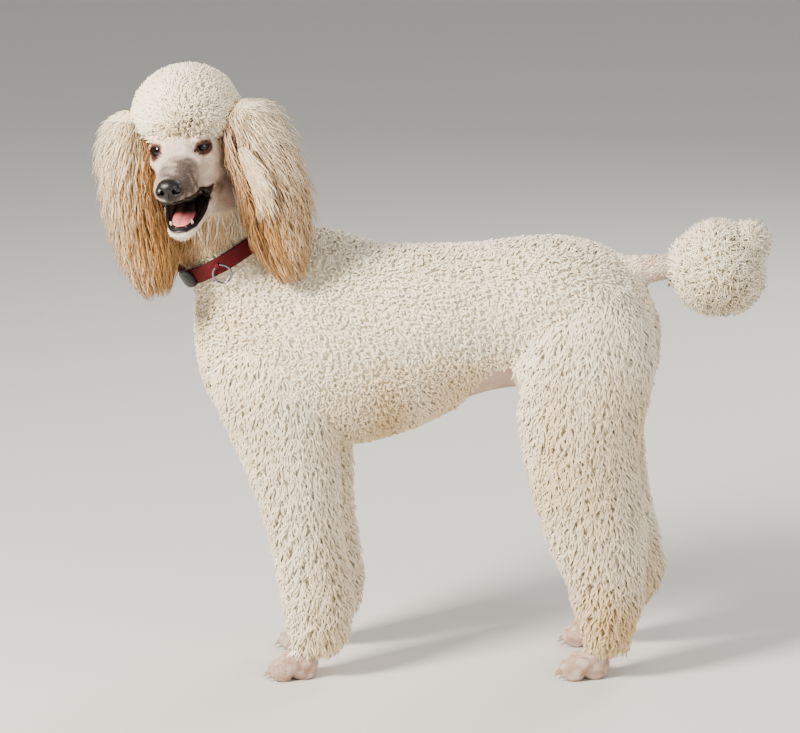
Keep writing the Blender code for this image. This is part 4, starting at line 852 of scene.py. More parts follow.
def face_markings(points):
    """The brown along the muzzle's bridge, with painted shade of the same brown down its left side, and the pinkish
    brown round the eyes and, more faintly, on the cheeks, feet and the flank's fold; on the feet it is partly painted
    shade."""
    x, y, z = HEAD_AXES.into(points).T
    patch = 0.75 + 0.25 * ripple(points, 0.018, 8)
    bridge = ramp(x, 0.050, 0.096) * ramp(z, -0.058, -0.040) * ramp(-np.abs(y), -0.034, -0.014)
    # Painted shade on the muzzle's left side only, stronger towards the nose, added to the bridge's brown.
    side = ramp(x, 0.036, 0.075) * ramp(y, 0.000, 0.014) * ramp(z, -0.060, -0.050) * (0.40 + 0.5 * ramp(x, 0.07, 0.11))
    rim = np.zeros(len(points))
    for eye_side in (1, -1):
        eye = eye_axes(eye_side).into(points)
        reach = np.hypot(eye[:, 1] / (LID_WIDE + EYE_SURROUND), eye[:, 2] / (lid_tall(eye_side) + EYE_SURROUND))
        corner = np.hypot((eye[:, 1] * eye_side + LID_WIDE + 0.002) / 0.0060, (eye[:, 2] + 0.0012) / 0.0038)
        near = np.maximum(ramp(-reach, -1.0, -0.66), ramp(-corner, -1.2, -0.6))
        rim = np.maximum(rim, near * (eye[:, 0] > 0))
    along, _, height = BODY.into(points).T
    fold = 0.22 * (np.abs(along - 0.05) < 0.15) * (height > 0.30)
    # The feet's pinkish brown is partly their own colour and partly painted shade.
    paws = (0.27 + 0.12 * ripple(points, 0.016, 9)) * (height < 0.10)
    cheek = 0.24 * ramp(-x, -0.034, -0.010) * ramp(np.abs(y), 0.018, 0.036) * ramp(-z, 0.030, 0.055) * (x > -0.06)
    rim = np.maximum.reduce([rim, fold, paws, cheek])
    return np.clip((bridge + side) * patch, 0, 1), rim


# Tufts of hair


def surface_roots(obj, spacing, seed, inside):
    """Roots spread evenly over part of a mesh: random points by area, thinned to one in each cube of the spacing."""
    mesh = obj.data
    mesh.calc_loop_triangles()
    corners = read(mesh.loop_triangles, "vertices", np.int32, 3)
    points = vertices_of(obj)
    normals = read(mesh.vertex_normals, "vector", width=3)
    corners = corners[inside(points[corners].mean(axis=1))]
    a, b, c = (points[corners[:, k]] for k in range(3))
    area = np.linalg.norm(np.cross(b - a, c - a), axis=1) / 2
    generator = np.random.default_rng(seed)
    tries = int(area.sum() / spacing**2 * ROOT_TRIES)
    chosen = np.searchsorted(np.cumsum(area), generator.random(tries) * area.sum()).clip(0, len(area) - 1)
    u, v = generator.random((2, tries, 1))
    u, v = np.where(u + v > 1, 1 - u, u), np.where(u + v > 1, 1 - v, v)
    root = a[chosen] + u * (b - a)[chosen] + v * (c - a)[chosen]
    out = unit(sum(normals[corners[chosen, k]] * w for k, w in enumerate((1 - u - v, u, v))))
    cube = np.floor(root / (spacing * CUBE_SHARE)).astype(np.int64)
    _, first = np.unique(np.bitwise_xor.reduce(cube * CUBE_PRIMES, axis=1), return_index=True)
    return root[first], out[first]


def tuft_paths(root, out, lie, height, run, curl, turns, bow, steps, generator):
    """Centre lines of tufts: up along the surface's way out as a sine, along the lie as a power, and round in a coil.

    bow is the share of half a turn that the rise goes through, so past 0.5 the tip comes down again.
    """
    count = len(root)
    t = np.linspace(0, 1, steps)[None, :, None]
    side = unit(np.cross(out, lie))
    rise = np.sin(t * math.pi * bow) / (1 if bow >= 0.5 else math.sin(math.pi * bow))
    phase = generator.uniform(0, math.tau, (count, 1, 1))
    angle = phase + math.tau * turns * t * generator.uniform(0.8, 1.2, (count, 1, 1))
    coil = curl[:, None, None] * np.sqrt(t)
    path = root[:, None] + out[:, None] * ((height + ROOT_DEPTH)[:, None, None] * rise - ROOT_DEPTH)
    path = path + lie[:, None] * (run[:, None, None] * t**1.4)
    path = path + side[:, None] * (coil * (np.cos(angle) - np.cos(phase)))
    return path + unit(out + lie)[:, None] * (coil * 0.5 * (np.sin(angle) - np.sin(phase)))


def tuft_object(name, path, half, side, flat, out, soften, uv, marks, generator):
    """Closed three-sided tapered tubes along many paths, in one mesh, with their attributes and their OFBake map.

    Ring corners stand at 90, 210 and 330 degrees about the path, the last path point is the tip, and in the map each
    tuft is a patch PATCH tall at its root's own place. The shading normals lean by soften towards the body's own
    way out, as those of fine hair in a mass do.
    """
    count, steps = path.shape[:2]
    rings = steps - 1
    forward = unit(np.gradient(path, axis=1))
    wide = unit(side[:, None] - forward * np.sum(forward * side[:, None], axis=-1, keepdims=True))
    deep = np.cross(forward, wide)
    turn = np.radians([90, 210, 330])
    reach_wide, reach_deep = np.cos(turn)[None, None, :, None], flat * np.sin(turn)[None, None, :, None]
    width = half[:, :, None, None]
    ring = path[:, :rings, None] + width * (wide[:, :rings, None] * reach_wide + deep[:, :rings, None] * reach_deep)
    points = np.concatenate([ring.reshape(count, rings * 3, 3), path[:, -1:]], axis=1)
    round_it = unit(ring - path[:, :rings, None]).reshape(count, rings * 3, 3)
    shading = np.concatenate([round_it, forward[:, -1:]], axis=1) * (1 - soften) + out[:, None] * soften
    each = rings * 3 + 1
    base = np.arange(rings * 3).reshape(rings, 3)
    after = np.roll(base, -1, axis=1)
    quads = np.stack([base[:-1], after[:-1], after[1:], base[1:]], axis=-1).reshape(-1, 4)
    tip = np.stack([base[-1], after[-1], np.full(3, each - 1)], axis=-1)
    triangles = np.concatenate([tip, [[2, 1, 0]]])
    shift = (np.arange(count) * each)[:, None, None]
    obj = new_object(name, points.reshape(-1, 3), (quads + shift).reshape(-1, 4), (triangles + shift).reshape(-1, 3))
    normals = obj.data.attributes.new("custom_normal", "FLOAT_VECTOR", "POINT")
    normals.data.foreach_set("vector", unit(shading).astype(np.float32).ravel())
    t = np.append(np.repeat(np.linspace(0, 1, steps)[:rings], 3), 1.0)
    across = np.append(np.tile([0.0, -1.0, 1.0], rings), 0.0)
    set_attribute(obj, "rise", np.tile(t, count))
    set_attribute(obj, "across", np.tile(across, count))
    set_attribute(obj, "tone", np.repeat(generator.random(count), each))
    for mark, values in marks.items():
        set_attribute(obj, mark, np.repeat(values, each))
    patch = np.stack([across * PATCH / 2, (t - 0.5) * PATCH], axis=-1)
    spots = (0.01 + 0.98 * uv[:, None] + patch).reshape(-1, 2)
    corners = read(obj.data.loops, "vertex_index", np.int32)
    layer = obj.data.uv_layers.new(name="OFBake")
    layer.data.foreach_set("uv", spots[corners].astype(np.float32).ravel())
    return obj


def along_surface(direction, out, generator, spread):
    """A direction laid flat on the surface at each root, then turned by a random angle of up to the spread."""
    direction = np.broadcast_to(direction, out.shape) + generator.normal(0, 0.08, out.shape)
    flat = unit(direction - out * np.sum(direction * out, axis=-1, keepdims=True))
    side = np.cross(out, flat)
    turn = generator.uniform(-spread, spread, (len(out), 1))
    return flat * np.cos(turn) + side * np.sin(turn)


def throat_marks(points):
    """The markings of the throat's hair, as tan as the ears' where it is most so; the tan is partly painted shade."""
    return {"gold": gold_and_shade(points), "ear": np.clip(throat_tan_and_shade(points) * 3, 0, 1)}


def gold_marks(points):
    """The markings of the body's coat."""
    return {"gold": gold_and_shade(points)}


def shaven_marks(points):
    """The markings of the shortest hair, the same as the skin's under it."""
    bridge, rim = face_markings(points)
    return {"gold": gold_and_shade(points), "bare": bareness(points), "bridge": bridge, "rim": rim}


def tufts(kind, **form):
    """A form for grown_coat: a kind's spacing and half width from the settings, and the rest as given."""
    look = settings()
    return dict(form, spacing=getattr(look, kind + "_spacing"), half=getattr(look, kind + "_width") / 2)


def grown_coat(name, inside, spot, lie, look, seed, stands_for=(), markings=gold_marks):
    """A coat piece grown from part of the skin.

    look gives the spacing, half width, height over the skin, run along it, curl, turns, bow, steps, the lie's spread,
    how far the shading leans outwards, and how uneven the height is over patches of a size.
    """
    root, out = surface_roots(bpy.data.objects["poodle_skin"], look["spacing"], seed, inside)
    generator = np.random.default_rng(seed)
    direction = along_surface(at(lie, root), out, generator, look["spread"])
    swell = 1 + look["uneven"] * ripple(root, look["patch"], seed + 50)
    height, run, curl = (at(look[part], root) + 0 * root[:, 0] for part in ("height", "run", "curl"))
    height = height * swell * generator.uniform(0.88, 1.03, len(root))
    run = run * generator.uniform(0.75, 1.2, len(root))
    curl = curl * generator.uniform(0.6, 1.3, len(root))
    path = tuft_paths(root, out, direction, height, run, curl, look["turns"], look["bow"], look["steps"], generator)
    path[..., 2] = np.maximum(path[..., 2], FLOOR_GAP)
    taper = np.interp(np.linspace(0, 1, look["steps"])[:-1], [0, 0.35, 0.75, 1], [0.8, 1.0, 0.75, 0.3])
    half = look["half"] * generator.uniform(0.75, 1.25, (len(root), 1)) * taper
    twist = generator.uniform(-0.7, 0.7, (len(root), 1))
    side = np.cross(out, direction) * np.cos(twist) + direction * np.sin(twist)
    coat = tuft_object(name, path, half, side, 0.75, out, look["soften"], spot(root), markings(root), generator)
    return finish(coat, coat_material(), stands_for)


def limb_spot(limb):
    """The place of a root on a limb's own unwrap: its turn about the limb and its share of the way along."""

    def spot(points):
        _, share, turn, _ = limb_fields(points)[limb]
        return np.stack([np.clip((turn + math.pi) / math.tau, 0, 1), share], axis=-1)

    return spot


def ball_spot(axes, centre):
    """The place of a root on a ball's own unwrap: longitude and latitude."""

    def spot(points):
        local = unit(axes.into(points) - np.array(centre))
        return np.stack([np.arctan2(local[:, 1], local[:, 0]) / math.tau + 0.5,
                         np.arccos(np.clip(local[:, 2], -1, 1)) / math.pi], axis=-1)

    return spot


def coat_height(points):
    """How far the coat reaches over the skin: half the depth of the limb's coat, blended between near limbs."""
    fields = limb_fields(points)
    outside = np.array([fields[name][0] for name in LIMBS])
    depth = np.array([fields[name][3] for name in LIMBS])
    weight = np.exp(-(outside - outside.min(axis=0)) / 0.012)
    return (weight * depth).sum(axis=0) / weight.sum(axis=0) * CORE_SHARE - HAIR_ROOM


# The pieces


def build_skin():
    """The whole skin: the body with the cores of ears, topknot and pom, and then the face and each paw, all melted
    from lofts and balls and joined."""
    body = [loft(axes, rows, 60, 48, CORE_SHARE) for axes, rows in LIMBS.values()]
    body.append(ball(HEAD_AXES, TOPKNOT_CENTRE, np.array(TOPKNOT_SIZE) - TOPKNOT_CORE))
    body += [ball(BODY, centre, np.array(size) - POM_CORE) for centre, size in POM]
    body += [ear_loft(side, EAR_HAIR[side], EAR_CORE_SPAN, EAR_CORE_SHARE) for side in (1, -1)]
    skin = melted("poodle_skin", body, BODY_VOXEL, 3)
    combined(skin, [face_skin(), *(paw_skin(stance) for stance in STANCE)], "UNION")
    paint_skin(skin)
    return finish(skin, skin_material(), FLESH)


def ear_loft(side, rows, span, share):
    """A closed form over a span of an ear's way down, at a share of its half sizes."""
    turn = full_turn(32)[None, :]
    fraction = np.linspace(*span, 40)[:, None]
    return tube(ear_points(side, rows, fraction + 0 * turn, turn + 0 * fraction, share))


def ear_points(side, rows, fraction, turn, share):
    """Points on an ear's form: down its curved middle by fraction, round it by turn, out from it by share."""
    values = rows_at(rows, fraction)
    ahead, behind = rows_at(rows, fraction + 0.02), rows_at(rows, fraction - 0.02)
    flip = np.array((1, side, 1))
    forward = unit(HEAD_AXES.turn((ahead - behind)[..., :3] * flip))
    along = HEAD_AXES.basis[0]
    wide = unit(along - forward * (forward @ along)[..., None])
    thin = np.cross(forward, wide) * -side
    centre = HEAD_AXES.out(values[..., :3] * flip)
    reach_wide = (share * values[..., 3] * np.cos(turn))[..., None]
    reach_thin = (share * values[..., 4] * np.sin(turn))[..., None]
    return centre + wide * reach_wide + thin * reach_thin


def eye_axes(side):
    """The eye's own axes: along its gaze, across and up."""
    along = HEAD_AXES.turn((math.cos(EYE_GAZE), side * math.sin(EYE_GAZE), 0))
    across = HEAD_AXES.turn((-math.sin(EYE_GAZE) * side, math.cos(EYE_GAZE), 0))
    centre = HEAD_AXES.out((EYE_CENTRE[0], side * EYE_CENTRE[1], EYE_CENTRE[2]))
    return Axes(centre, along, across, HEAD_AXES.basis[2])


def lid_tall(side):
    """Half the height of an eye's opening: the left eye is half closed."""
    return LID_TALL * (LEFT_SQUINT if side > 0 else 1.0)


def face_skin():
    """The face and shaven throat: skull, muzzle, cheeks, brows, flews, jaw and chin, with eye sockets and mouth cut."""
    forms = [loft(HEAD_AXES, SKULL, 30, 48), loft(HEAD_AXES, MUZZLE, 30, 48), loft(JAW_AXES, JAW, 30, 40),
             loft(NECK_AXES, NECK[3:], 30, 48, CORE_SHARE),
             ball(HEAD_AXES, (0.036, 0.0, -0.014), (0.034, 0.024, 0.020)),
             ball(HEAD_AXES, (-0.030, 0.0, -0.052), (0.044, 0.040, 0.030)),
             ball(JAW_AXES, (0.128, 0.0, -0.002), (0.014, 0.014, 0.010))]
    for side in (1, -1):
        forms += [ball(HEAD_AXES, (0.000, side * 0.028, -0.030), (0.044, 0.021, 0.028)),
                  ball(HEAD_AXES, (0.022, side * 0.034, -0.014), (0.034, 0.0125, 0.013)),
                  ball(HEAD_AXES, (0.036, side * 0.026, 0.013), (0.016, 0.013, 0.008)),
                  ball(HEAD_AXES, (0.096, side * 0.0145, -0.045), (0.042, 0.0125, 0.0115)),
                  ball(HEAD_AXES, (0.034, side * 0.0275, -0.050), (0.026, 0.0105, 0.0150)),
                  ball(eye_axes(side), (0, 0, 0), (EYE_RADIUS + LID_THICK,) * 3),
                  ear_loft(side, EAR_LEATHER[side], (0.0, 1.0), 1.0)]
    face = melted("face", forms, FACE_VOXEL, 8)
    cuts = []
    for side in (1, -1):
        cuts.append(ball(eye_axes(side), (0, 0, 0), (EYE_RADIUS + 0.0002,) * 3, 40, 60))
        cuts.append(ball(eye_axes(side), (EYE_RADIUS, 0, 0), (0.007, LID_WIDE, lid_tall(side)), 40, 60))
    cuts += [ball(axes, centre, size, 40, 60) for axes, centre, size in MOUTH_HOLLOWS]
    return carve(face, cuts)


def paw_axes(stance):
    """A paw's axes on the floor: forwards to its toes, across and up."""
    side, along, across, _ = STANCE[stance]
    stations, place, _ = FEET[stance[:4]]
    centre = FLOOR.out((place + along - FLOOR_PLACE[0], side * stations[0][1] + across, 0))
    return placed(centre, -FLOOR.basis[0], FLOOR.basis[1], FLOOR.basis[2])


def paw_skin(stance):
    """A shaven paw: pastern, heel, four toes with knuckles and a web between them, cut by the top of a large ball
    under the floor, so that the sole is a little hollow and its edges reach 0.9 mm lower than its middle."""
    axes = paw_axes(stance)
    _, _, pastern = FEET[stance[:4]]
    upright = Axes(axes.origin, axes.basis[2], axes.basis[1], axes.basis[0])
    rows = [(0.008, 0, -0.004, 0.020, 0.020, 0), (0.028, 0, -0.010, 0.019, 0.021, 0),
            (0.048, 0, -pastern, 0.0165, 0.0190, 0), (0.085, 0, -pastern - 0.004, 0.0155, 0.0175, 0)]
    forms = [ball(axes, (-0.006, 0, 0.021), (0.026, 0.0225, 0.0190)),
             ball(axes, (-0.010, 0, 0.008), (0.019, 0.0190, 0.0110)), loft(upright, rows, 20, 28)]
    for across, along in TOES:
        forms.append(ball(axes, (along - 0.008, across, 0.0120), (0.0150, 0.0074, 0.0125)))
        forms.append(ball(axes, (along - 0.020, across * 0.94, 0.0225), (0.0130, 0.0080, 0.0125)))
    paw = melted("paw", forms, PAW_VOXEL, 1)
    return carve(paw, [ball(axes, (0, 0, -0.5), (0.5, 0.5, 0.5), 60, 90)])


def paint_skin(skin):
    """The skin's markings: the coat's own, tan in the ears, and dark lips and mouth lining between jaw and muzzle, the
    lining also painted shade inside the mouth.
    """
    points = vertices_of(skin)
    head, jaw, gape = (axes.into(points) for axes in (HEAD_AXES, JAW_AXES, GAPE_AXES))
    _, outside = nearest_limb(points)
    ears = (ear_share(points, (0.08, 0.056, 0.165)) < 1) & (np.abs(head[:, 1]) > 0.056) & (outside > 0.006)
    # The throat's skin takes the same tan, partly painted shade.
    ears = np.maximum(ears, throat_tan_and_shade(points))
    dark = ramp(-head[:, 2], 0.0490, 0.0515) * ramp(jaw[:, 2], 0.0040, 0.0065) * ramp(gape[:, 0], -0.004, 0.002)
    # The walls of the mouth's inside are painted dark as well, as painted shade.
    dark = np.maximum(dark * (np.abs(head[:, 1]) < 0.046), in_mouth(points))
    # In the middle the lips' black gives way to the mouth's lining, near black as painted shade.
    wet = ramp(-np.abs(head[:, 1]), -0.0215, -0.0185)
    bridge, rim = face_markings(points)
    bare = bareness(points)
    gold = np.maximum(0.8 * ears, gold_and_shade(points))
    for name, values in (("gold", gold), ("ear", ears), ("bare", bare * (1 - ears)),
                         ("bridge", bridge), ("rim", rim), ("dark", dark), ("wet", wet)):
        set_attribute(skin, name, values)


def in_mouth(points):
    """Whether a point lies on the wall of one of the two hollows that make the mouth's inside."""
    return np.min([ball_share(points, *hollow) for hollow in MOUTH_HOLLOWS], axis=0) < WALL_REACH


def build_eyes():
    """Eyeballs with a dark brown iris and a pupil, and a rim along each pair of lids."""
    shader = Shader("eye_glass", roughness=0.06, specular_ior_level=0.4)
    gaze = shader.attribute("gaze")
    iris = shader.mix(gaze.edge(60.0, 56.4), "eye_brown", PUPIL_BLACK)
    white = shader.mix(gaze.edge(9.0, 6.4), EYE_WHITE, iris)
    material = shader.feed(base_color=white)
    rims = []
    for side, node in ((1, "eye_left"), (-1, "eye_right")):
        axes = eye_axes(side)
        eye = new_object(node + "_ball", *ball(axes, (0, 0, 0), (EYE_RADIUS,) * 3, 60, 60))
        set_attribute(eye, "gaze", axes.into(vertices_of(eye))[:, 0] / EYE_RADIUS)
        finish(eye, material, [node])
        turn = full_turn(72)
        wide, tall = LID_WIDE * 0.99 * np.cos(turn), lid_tall(side) * 0.97 * np.sin(turn)
        deep = np.sqrt((EYE_RADIUS + LID_THICK * 0.55) ** 2 - wide**2 - tall**2)
        path = axes.out(np.stack([deep, wide, tall], axis=-1))
        rims.append(swept(path, unit(path - axes.origin), circle(0.0015), True))
    rim = new_object("eyelid_rims", *merged(rims))
    finish(rim, plain_material("lid_leather", "lid_brown", 0.5, 500.0, 0.0002, specular_ior_level=0.2))


def build_nose():
    """The nose pad: melted balls, with comma nostrils cut in and a cleft, in pebbled wet leather."""
    forms = [ball(HEAD_AXES, (0.1465, 0, -0.0325), (0.0145, 0.0175, 0.0130)),
             ball(HEAD_AXES, (0.1480, 0, -0.0430), (0.0105, 0.0085, 0.0105))]
    forms += [ball(HEAD_AXES, (0.1480, side * 0.0105, -0.0365), (0.0118, 0.0090, 0.0090)) for side in (1, -1)]
    nose = melted("nose_pad", forms, NOSE_VOXEL, 3)
    holes = []
    for side in (1, -1):
        holes.append(ball(HEAD_AXES, (0.1600, side * 0.0080, -0.0368), (0.0070, 0.0030, 0.0036)))
        holes.append(ball(HEAD_AXES, (0.1570, side * 0.0125, -0.0385), (0.0060, 0.0035, 0.0014)))
    holes.append(ball(HEAD_AXES, (0.1620, 0, -0.0440), (0.0060, 0.0006, 0.0090)))
    carve(nose, holes)
    shader = Shader("nose_leather", roughness=0.34, specular_ior_level=0.35, coat_weight=0.15, coat_roughness=0.2)
    cells = shader.node("ShaderNodeTexVoronoi", {}, {"Vector": shader.place(), "Scale": 900.0})
    tone = shader.noise(200.0, 3.0)
    colour = shader.tint("nose_brown", 0.75 + tone * 0.5)
    material = shader.feed(base_color=colour, normal=shader.bump(cells, 0.0003, 0.7))
    finish(nose, material, ["nose"])


def drawn_to(path, points, near):
    """A path with each of its points moved to the closest of many others, if that is near, and then evened out."""
    close = points[np.linalg.norm(points - path.mean(axis=0), axis=1) < 0.09]
    apart = np.linalg.norm(path[:, None] - close[None], axis=-1)
    moved = np.where(apart.min(axis=1)[:, None] < near, close[apart.argmin(axis=1)], path)
    for _ in range(6):
        moved[1:-1] = (moved[:-2] + 2 * moved[1:-1] + moved[2:]) / 4
    return moved


def build_mouth():
    """The tongue, the lower teeth and the black lips along the jaw and under the muzzle."""
    build_tongue()
    build_teeth()
    build_lips()


def build_tongue():
    """The tongue: a loft with raised edges and a groove down its middle, darkened as painted shade where it lies deep
    in the mouth.
    """
    sides = 40
    rows = rows_at(TONGUE, np.linspace(0, 1, 40))
    turn = full_turn(sides)
    across, up = np.cos(turn), np.sin(turn)
    cup = 0.35 * across**2 - 0.55 * np.exp(-((across / 0.22) ** 2)) * (up > 0)
    y = rows[:, 3:4] * across
    z = rows[:, 2:3] + rows[:, 4:5] * (up + cup)
    grid = np.stack([np.repeat(rows[:, :1], sides, axis=1), y, z], axis=-1)
    tongue = new_object("tongue_flesh", *tube(JAW_AXES.out(grid)))
    # deep marks the tongue's back, which is painted in the mouth's dark colour as painted shade.
    set_attribute(tongue, "deep", ramp(-JAW_AXES.into(vertices_of(tongue))[:, 0], -0.112, -0.088))
    shader = Shader("tongue_flesh", roughness=0.32, coat_weight=0.3, coat_roughness=0.2)
    buds = shader.noise(700.0, 3.0)
    flesh = shader.tint("tongue_pink", 0.88 + buds * 0.24)
    flesh = shader.mix(shader.attribute("deep"), flesh, "mouth_lining")
    finish(tongue, shader.feed(base_color=flesh, normal=shader.bump(buds, 0.0003)), ["tongue"])


def build_teeth():
    """The lower teeth: cones with rounded tips that lean a little forward."""
    teeth = []
    for across, along, radius, height in TEETH:
        lift = np.linspace(-GUM_DEPTH, height, 10)
        share = np.clip(lift / height, 0, 1)
        size = radius * np.sqrt(np.clip(1 - share**1.6, 0.02, 1))
        path = JAW_AXES.out(np.stack([along + 0.002 * share**2, np.full(10, across), GUM_HEIGHT + lift], axis=-1))
        teeth.append(tapered(path, JAW_AXES.basis[0], size))
    finish(new_object("lower_teeth", *merged(teeth)),
           plain_material("tooth_ivory", "tooth_ivory", 0.25, 300.0, 0.0001))


def build_lips():
    """The lips: a thin roll along each lip's line, thicker towards the corners, drawn to the skin next to it."""
    turn = np.linspace(-0.5, 0.5, 90) * math.pi
    along, across = np.cos(turn).clip(1e-6) ** LIP_BEND, signed_power(np.sin(turn), LIP_BEND)
    flare = LIP_FLARE * (1 - along) ** 2
    corner = np.abs(np.sin(turn))
    width = (0.0018 + 0.0026 * corner) * np.clip(1 - corner**30, 0.2, 1)
    skin = vertices_of(bpy.data.objects["poodle_skin"])
    lips = []
    for axes, start, reach, half, height, fall in LIPS:
        path = axes.out(np.stack([start + reach * along, (half + flare) * across, height - fall * along], axis=-1))
        lips.append(tapered(drawn_to(path, skin, 0.012), axes.basis[2], width))
    finish(new_object("lips", *merged(lips)),
           plain_material("lip_leather", "lip_black", 0.5, 500.0, 0.0003, 0.3, specular_ior_level=0.25))


def build_claws():
    """The claws, each a tapered tube bent down from its toe."""
    claws = []
    for stance in STANCE:
        axes = paw_axes(stance)
        for across, along in TOES:
            t = np.linspace(0, 1, 8)
            reach = along + 0.0035 + 0.0095 * t
            path = axes.out(np.stack([reach, np.full(8, across), 0.0095 - 0.0060 * t**1.6], axis=-1))
            size = 0.0025 * np.sqrt(1 - 0.96 * t)
            claws.append(tapered(path, axes.basis[2], size, 10))
    finish(new_object("claws", *merged(claws)),
           plain_material("claw_horn", "claw_horn", 0.35, 250.0, 0.0001))


def ear_locks(side, rows, group, generator):
    """Centre lines of one group of an ear's locks, their half widths, sideways and outward directions, and marks.

    A lock starts at a share of the way down and out, runs down and outwards to the hair's own form, swings round it
    by its swing and waves from side to side more and more towards its tip.
    """
    count, steps = group["count"], group["steps"]
    spread = lambda low, high, shape=(): generator.uniform(low, high, shape or count)
    start, turn = spread(*group["start"]), spread(*group["turn"])
    end = np.minimum(start + spread(*group["length"]) * (0.75 + 0.5 * start), spread(*group["end"]))
    first, last = spread(*group["first"]), spread(*group["last"])
    t = np.linspace(0, 1, steps)[None]
    fraction = start[:, None] + (end - start)[:, None] * t
    share = first[:, None] + (last - first)[:, None] * t**0.7
    waves, phase = spread(*group["waves"], (count, 1)), generator.random((count, 1))
    size = spread(0.5, 1.5, (count, 1)) * group["wave"]
    swing = turn[:, None] + group["swing"] * (1 - start[:, None]) * np.cos(turn[:, None]).clip(0) * t
    swing = swing + size * np.sin(math.tau * (waves * t + phase)) * np.sqrt(t) + spread(-0.2, 0.2, (count, 1)) * t
    share = share + 0.6 * size * np.cos(math.tau * (waves * t + phase)) * t
    path = ear_points(side, rows, fraction, swing, share)
    middle = ear_points(side, rows, fraction[:, steps // 2:][:, :1], swing[:, :1], 0 * share[:, :1])[:, 0]
    out = unit(path[:, steps // 2] - middle)
    sidewise = np.cross(unit(path[:, -1] - path[:, 0]), out)
    taper = np.interp(np.linspace(0, 1, steps)[:-1], [0, 0.3, 0.7, 1], [0.7, 1.0, 0.8, 0.35])
    half = group["half"] * spread(0.7, 1.3, (count, 1)) * taper
    # An ear's locks grow tanner down its length and on its inner side towards the head: partly the ear's own tan,
    # partly painted shade.
    inward = 0.5 - 0.5 * np.sin(turn)
    gold = group["gold"] + 0.12 + 0.68 * ramp(start, 0.04, 0.5) + 0.45 * inward**2 + 0.15 * generator.normal(size=count)
    uv = np.stack([(turn % math.tau) / math.tau, np.clip(start, 0, 1)], axis=-1)
    return path, half, sidewise, out, np.clip(gold, 0, 1), uv


def ear_hair(side, seed):
    """An ear's hair in groups: short locks at its top, long wavy ones down it, loose wisps at its outer edge, and a
    flap of short curls on the left one."""
    look = settings()
    rows = EAR_HAIR[side]
    name = "ear_left" if side > 0 else "ear_right"
    generator = np.random.default_rng(seed)
    half = look.ear_lock_width / 2
    long = {"count": look.ear_locks, "steps": 6, "start": (0.0, 0.72), "turn": (0, math.tau), "length": (0.20, 0.42),
            "end": (0.84, 1.02), "first": (0.30, 0.55), "last": (0.66, 1.00), "waves": (1.2, 2.4), "wave": 0.075,
            "swing": 0.55, "half": half, "gold": 0.0}
    crown = dict(long, count=look.ear_locks // 5, start=(-0.01, 0.05), length=(0.12, 0.30), first=(0.0, 0.30),
                 last=(0.85, 1.05), gold=-0.15)
    wisps = dict(long, count=look.ear_locks // 14, start=(0.05, 0.70), turn=(0.1, 1.9), length=(0.14, 0.26),
                 last=(1.04, 1.24), half=half * 0.45, wave=0.10, gold=-0.10)
    # The inner locks by the face are a little tanner, partly as painted shade.
    inner = dict(long, count=look.ear_locks // 8, start=(0.10 if side > 0 else 0.24, 0.55), turn=(-2.3, -0.8),
                 first=(0.7, 0.9), last=(1.02, 1.22) if side > 0 else (0.95, 1.12), gold=0.15)
    groups = [long, crown, wisps, inner]
    if side > 0:
        groups.append(dict(long, count=look.ear_locks // 14, start=(0.32, 0.44), turn=(-0.45, -0.15), swing=0.35,
                           length=(0.16, 0.26), end=(0.62, 0.70), first=(0.98, 1.10), last=(1.00, 1.12), wave=0.05,
                           gold=-0.30))
    parts = []
    for group in groups:
        parts.append(ear_locks(side, rows, group, generator))
    path, half, sidewise, out, gold, uv = (np.concatenate(column) for column in zip(*parts))
    marks = {"gold": gold, "ear": np.ones(len(gold))}
    coat = tuft_object("hair_" + name, path, half, sidewise, 0.7, out, 0.35, uv, marks, generator)
    return finish(coat, coat_material(), [name])


def build_ears():
    """The hair of both ears, the left one's first."""
    ear_hair(1, 61)
    ear_hair(-1, 62)


def on_limb(name, limb_side=0):
    """A test for places that a limb's coat grows from: on that limb's own skin, where it isn't shaven and is no
    higher than the collar, and on one side of the body where a side is given."""

    def inside(points):
        nearest, outside = nearest_limb(points)
        here = (nearest == list(LIMBS).index(name)) & (outside < LIMB_REACH) & (bareness(points) < 0.5)
        if limb_side:
            here &= np.sign(BODY.into(points)[:, 1]) == limb_side
        return here & (collar_axes().into(points)[:, 2] <= COLLAR_WIDE / 2)

    return inside


def build_body_coat():
    """Tight curls on the torso and neck, and the hair of the throat above the collar."""
    curls = tufts("curl", run=0.0075, curl=0.0027, turns=0.8, bow=0.60, steps=4, spread=1.6, height=coat_height,
                  uneven=0.10, patch=0.014, soften=0.65)
    for side, word in ((-1, "left"), (1, "right")):
        grown_coat("curls_torso_" + word, on_limb("torso", side), limb_spot("torso"), BODY.turn((0.55, 0, -0.80)),
                   curls, 20 + side)

    def clear_of_collar(points):
        band = collar_axes().into(points)
        gap = COLLAR_RADIUS - np.hypot(band[:, 0], band[:, 1])
        near = ramp(-np.abs(band[:, 2]), -COLLAR_WIDE / 2 - 0.006, -COLLAR_WIDE / 2)
        return coat_height(points) * (1 - near) + np.clip(gap, 0.001, 0.006) * near

    neck = dict(curls, height=clear_of_collar, run=0.006)
    grown_coat("curls_neck", on_limb("neck"), limb_spot("neck"), -NECK_AXES.basis[0], neck, 25)


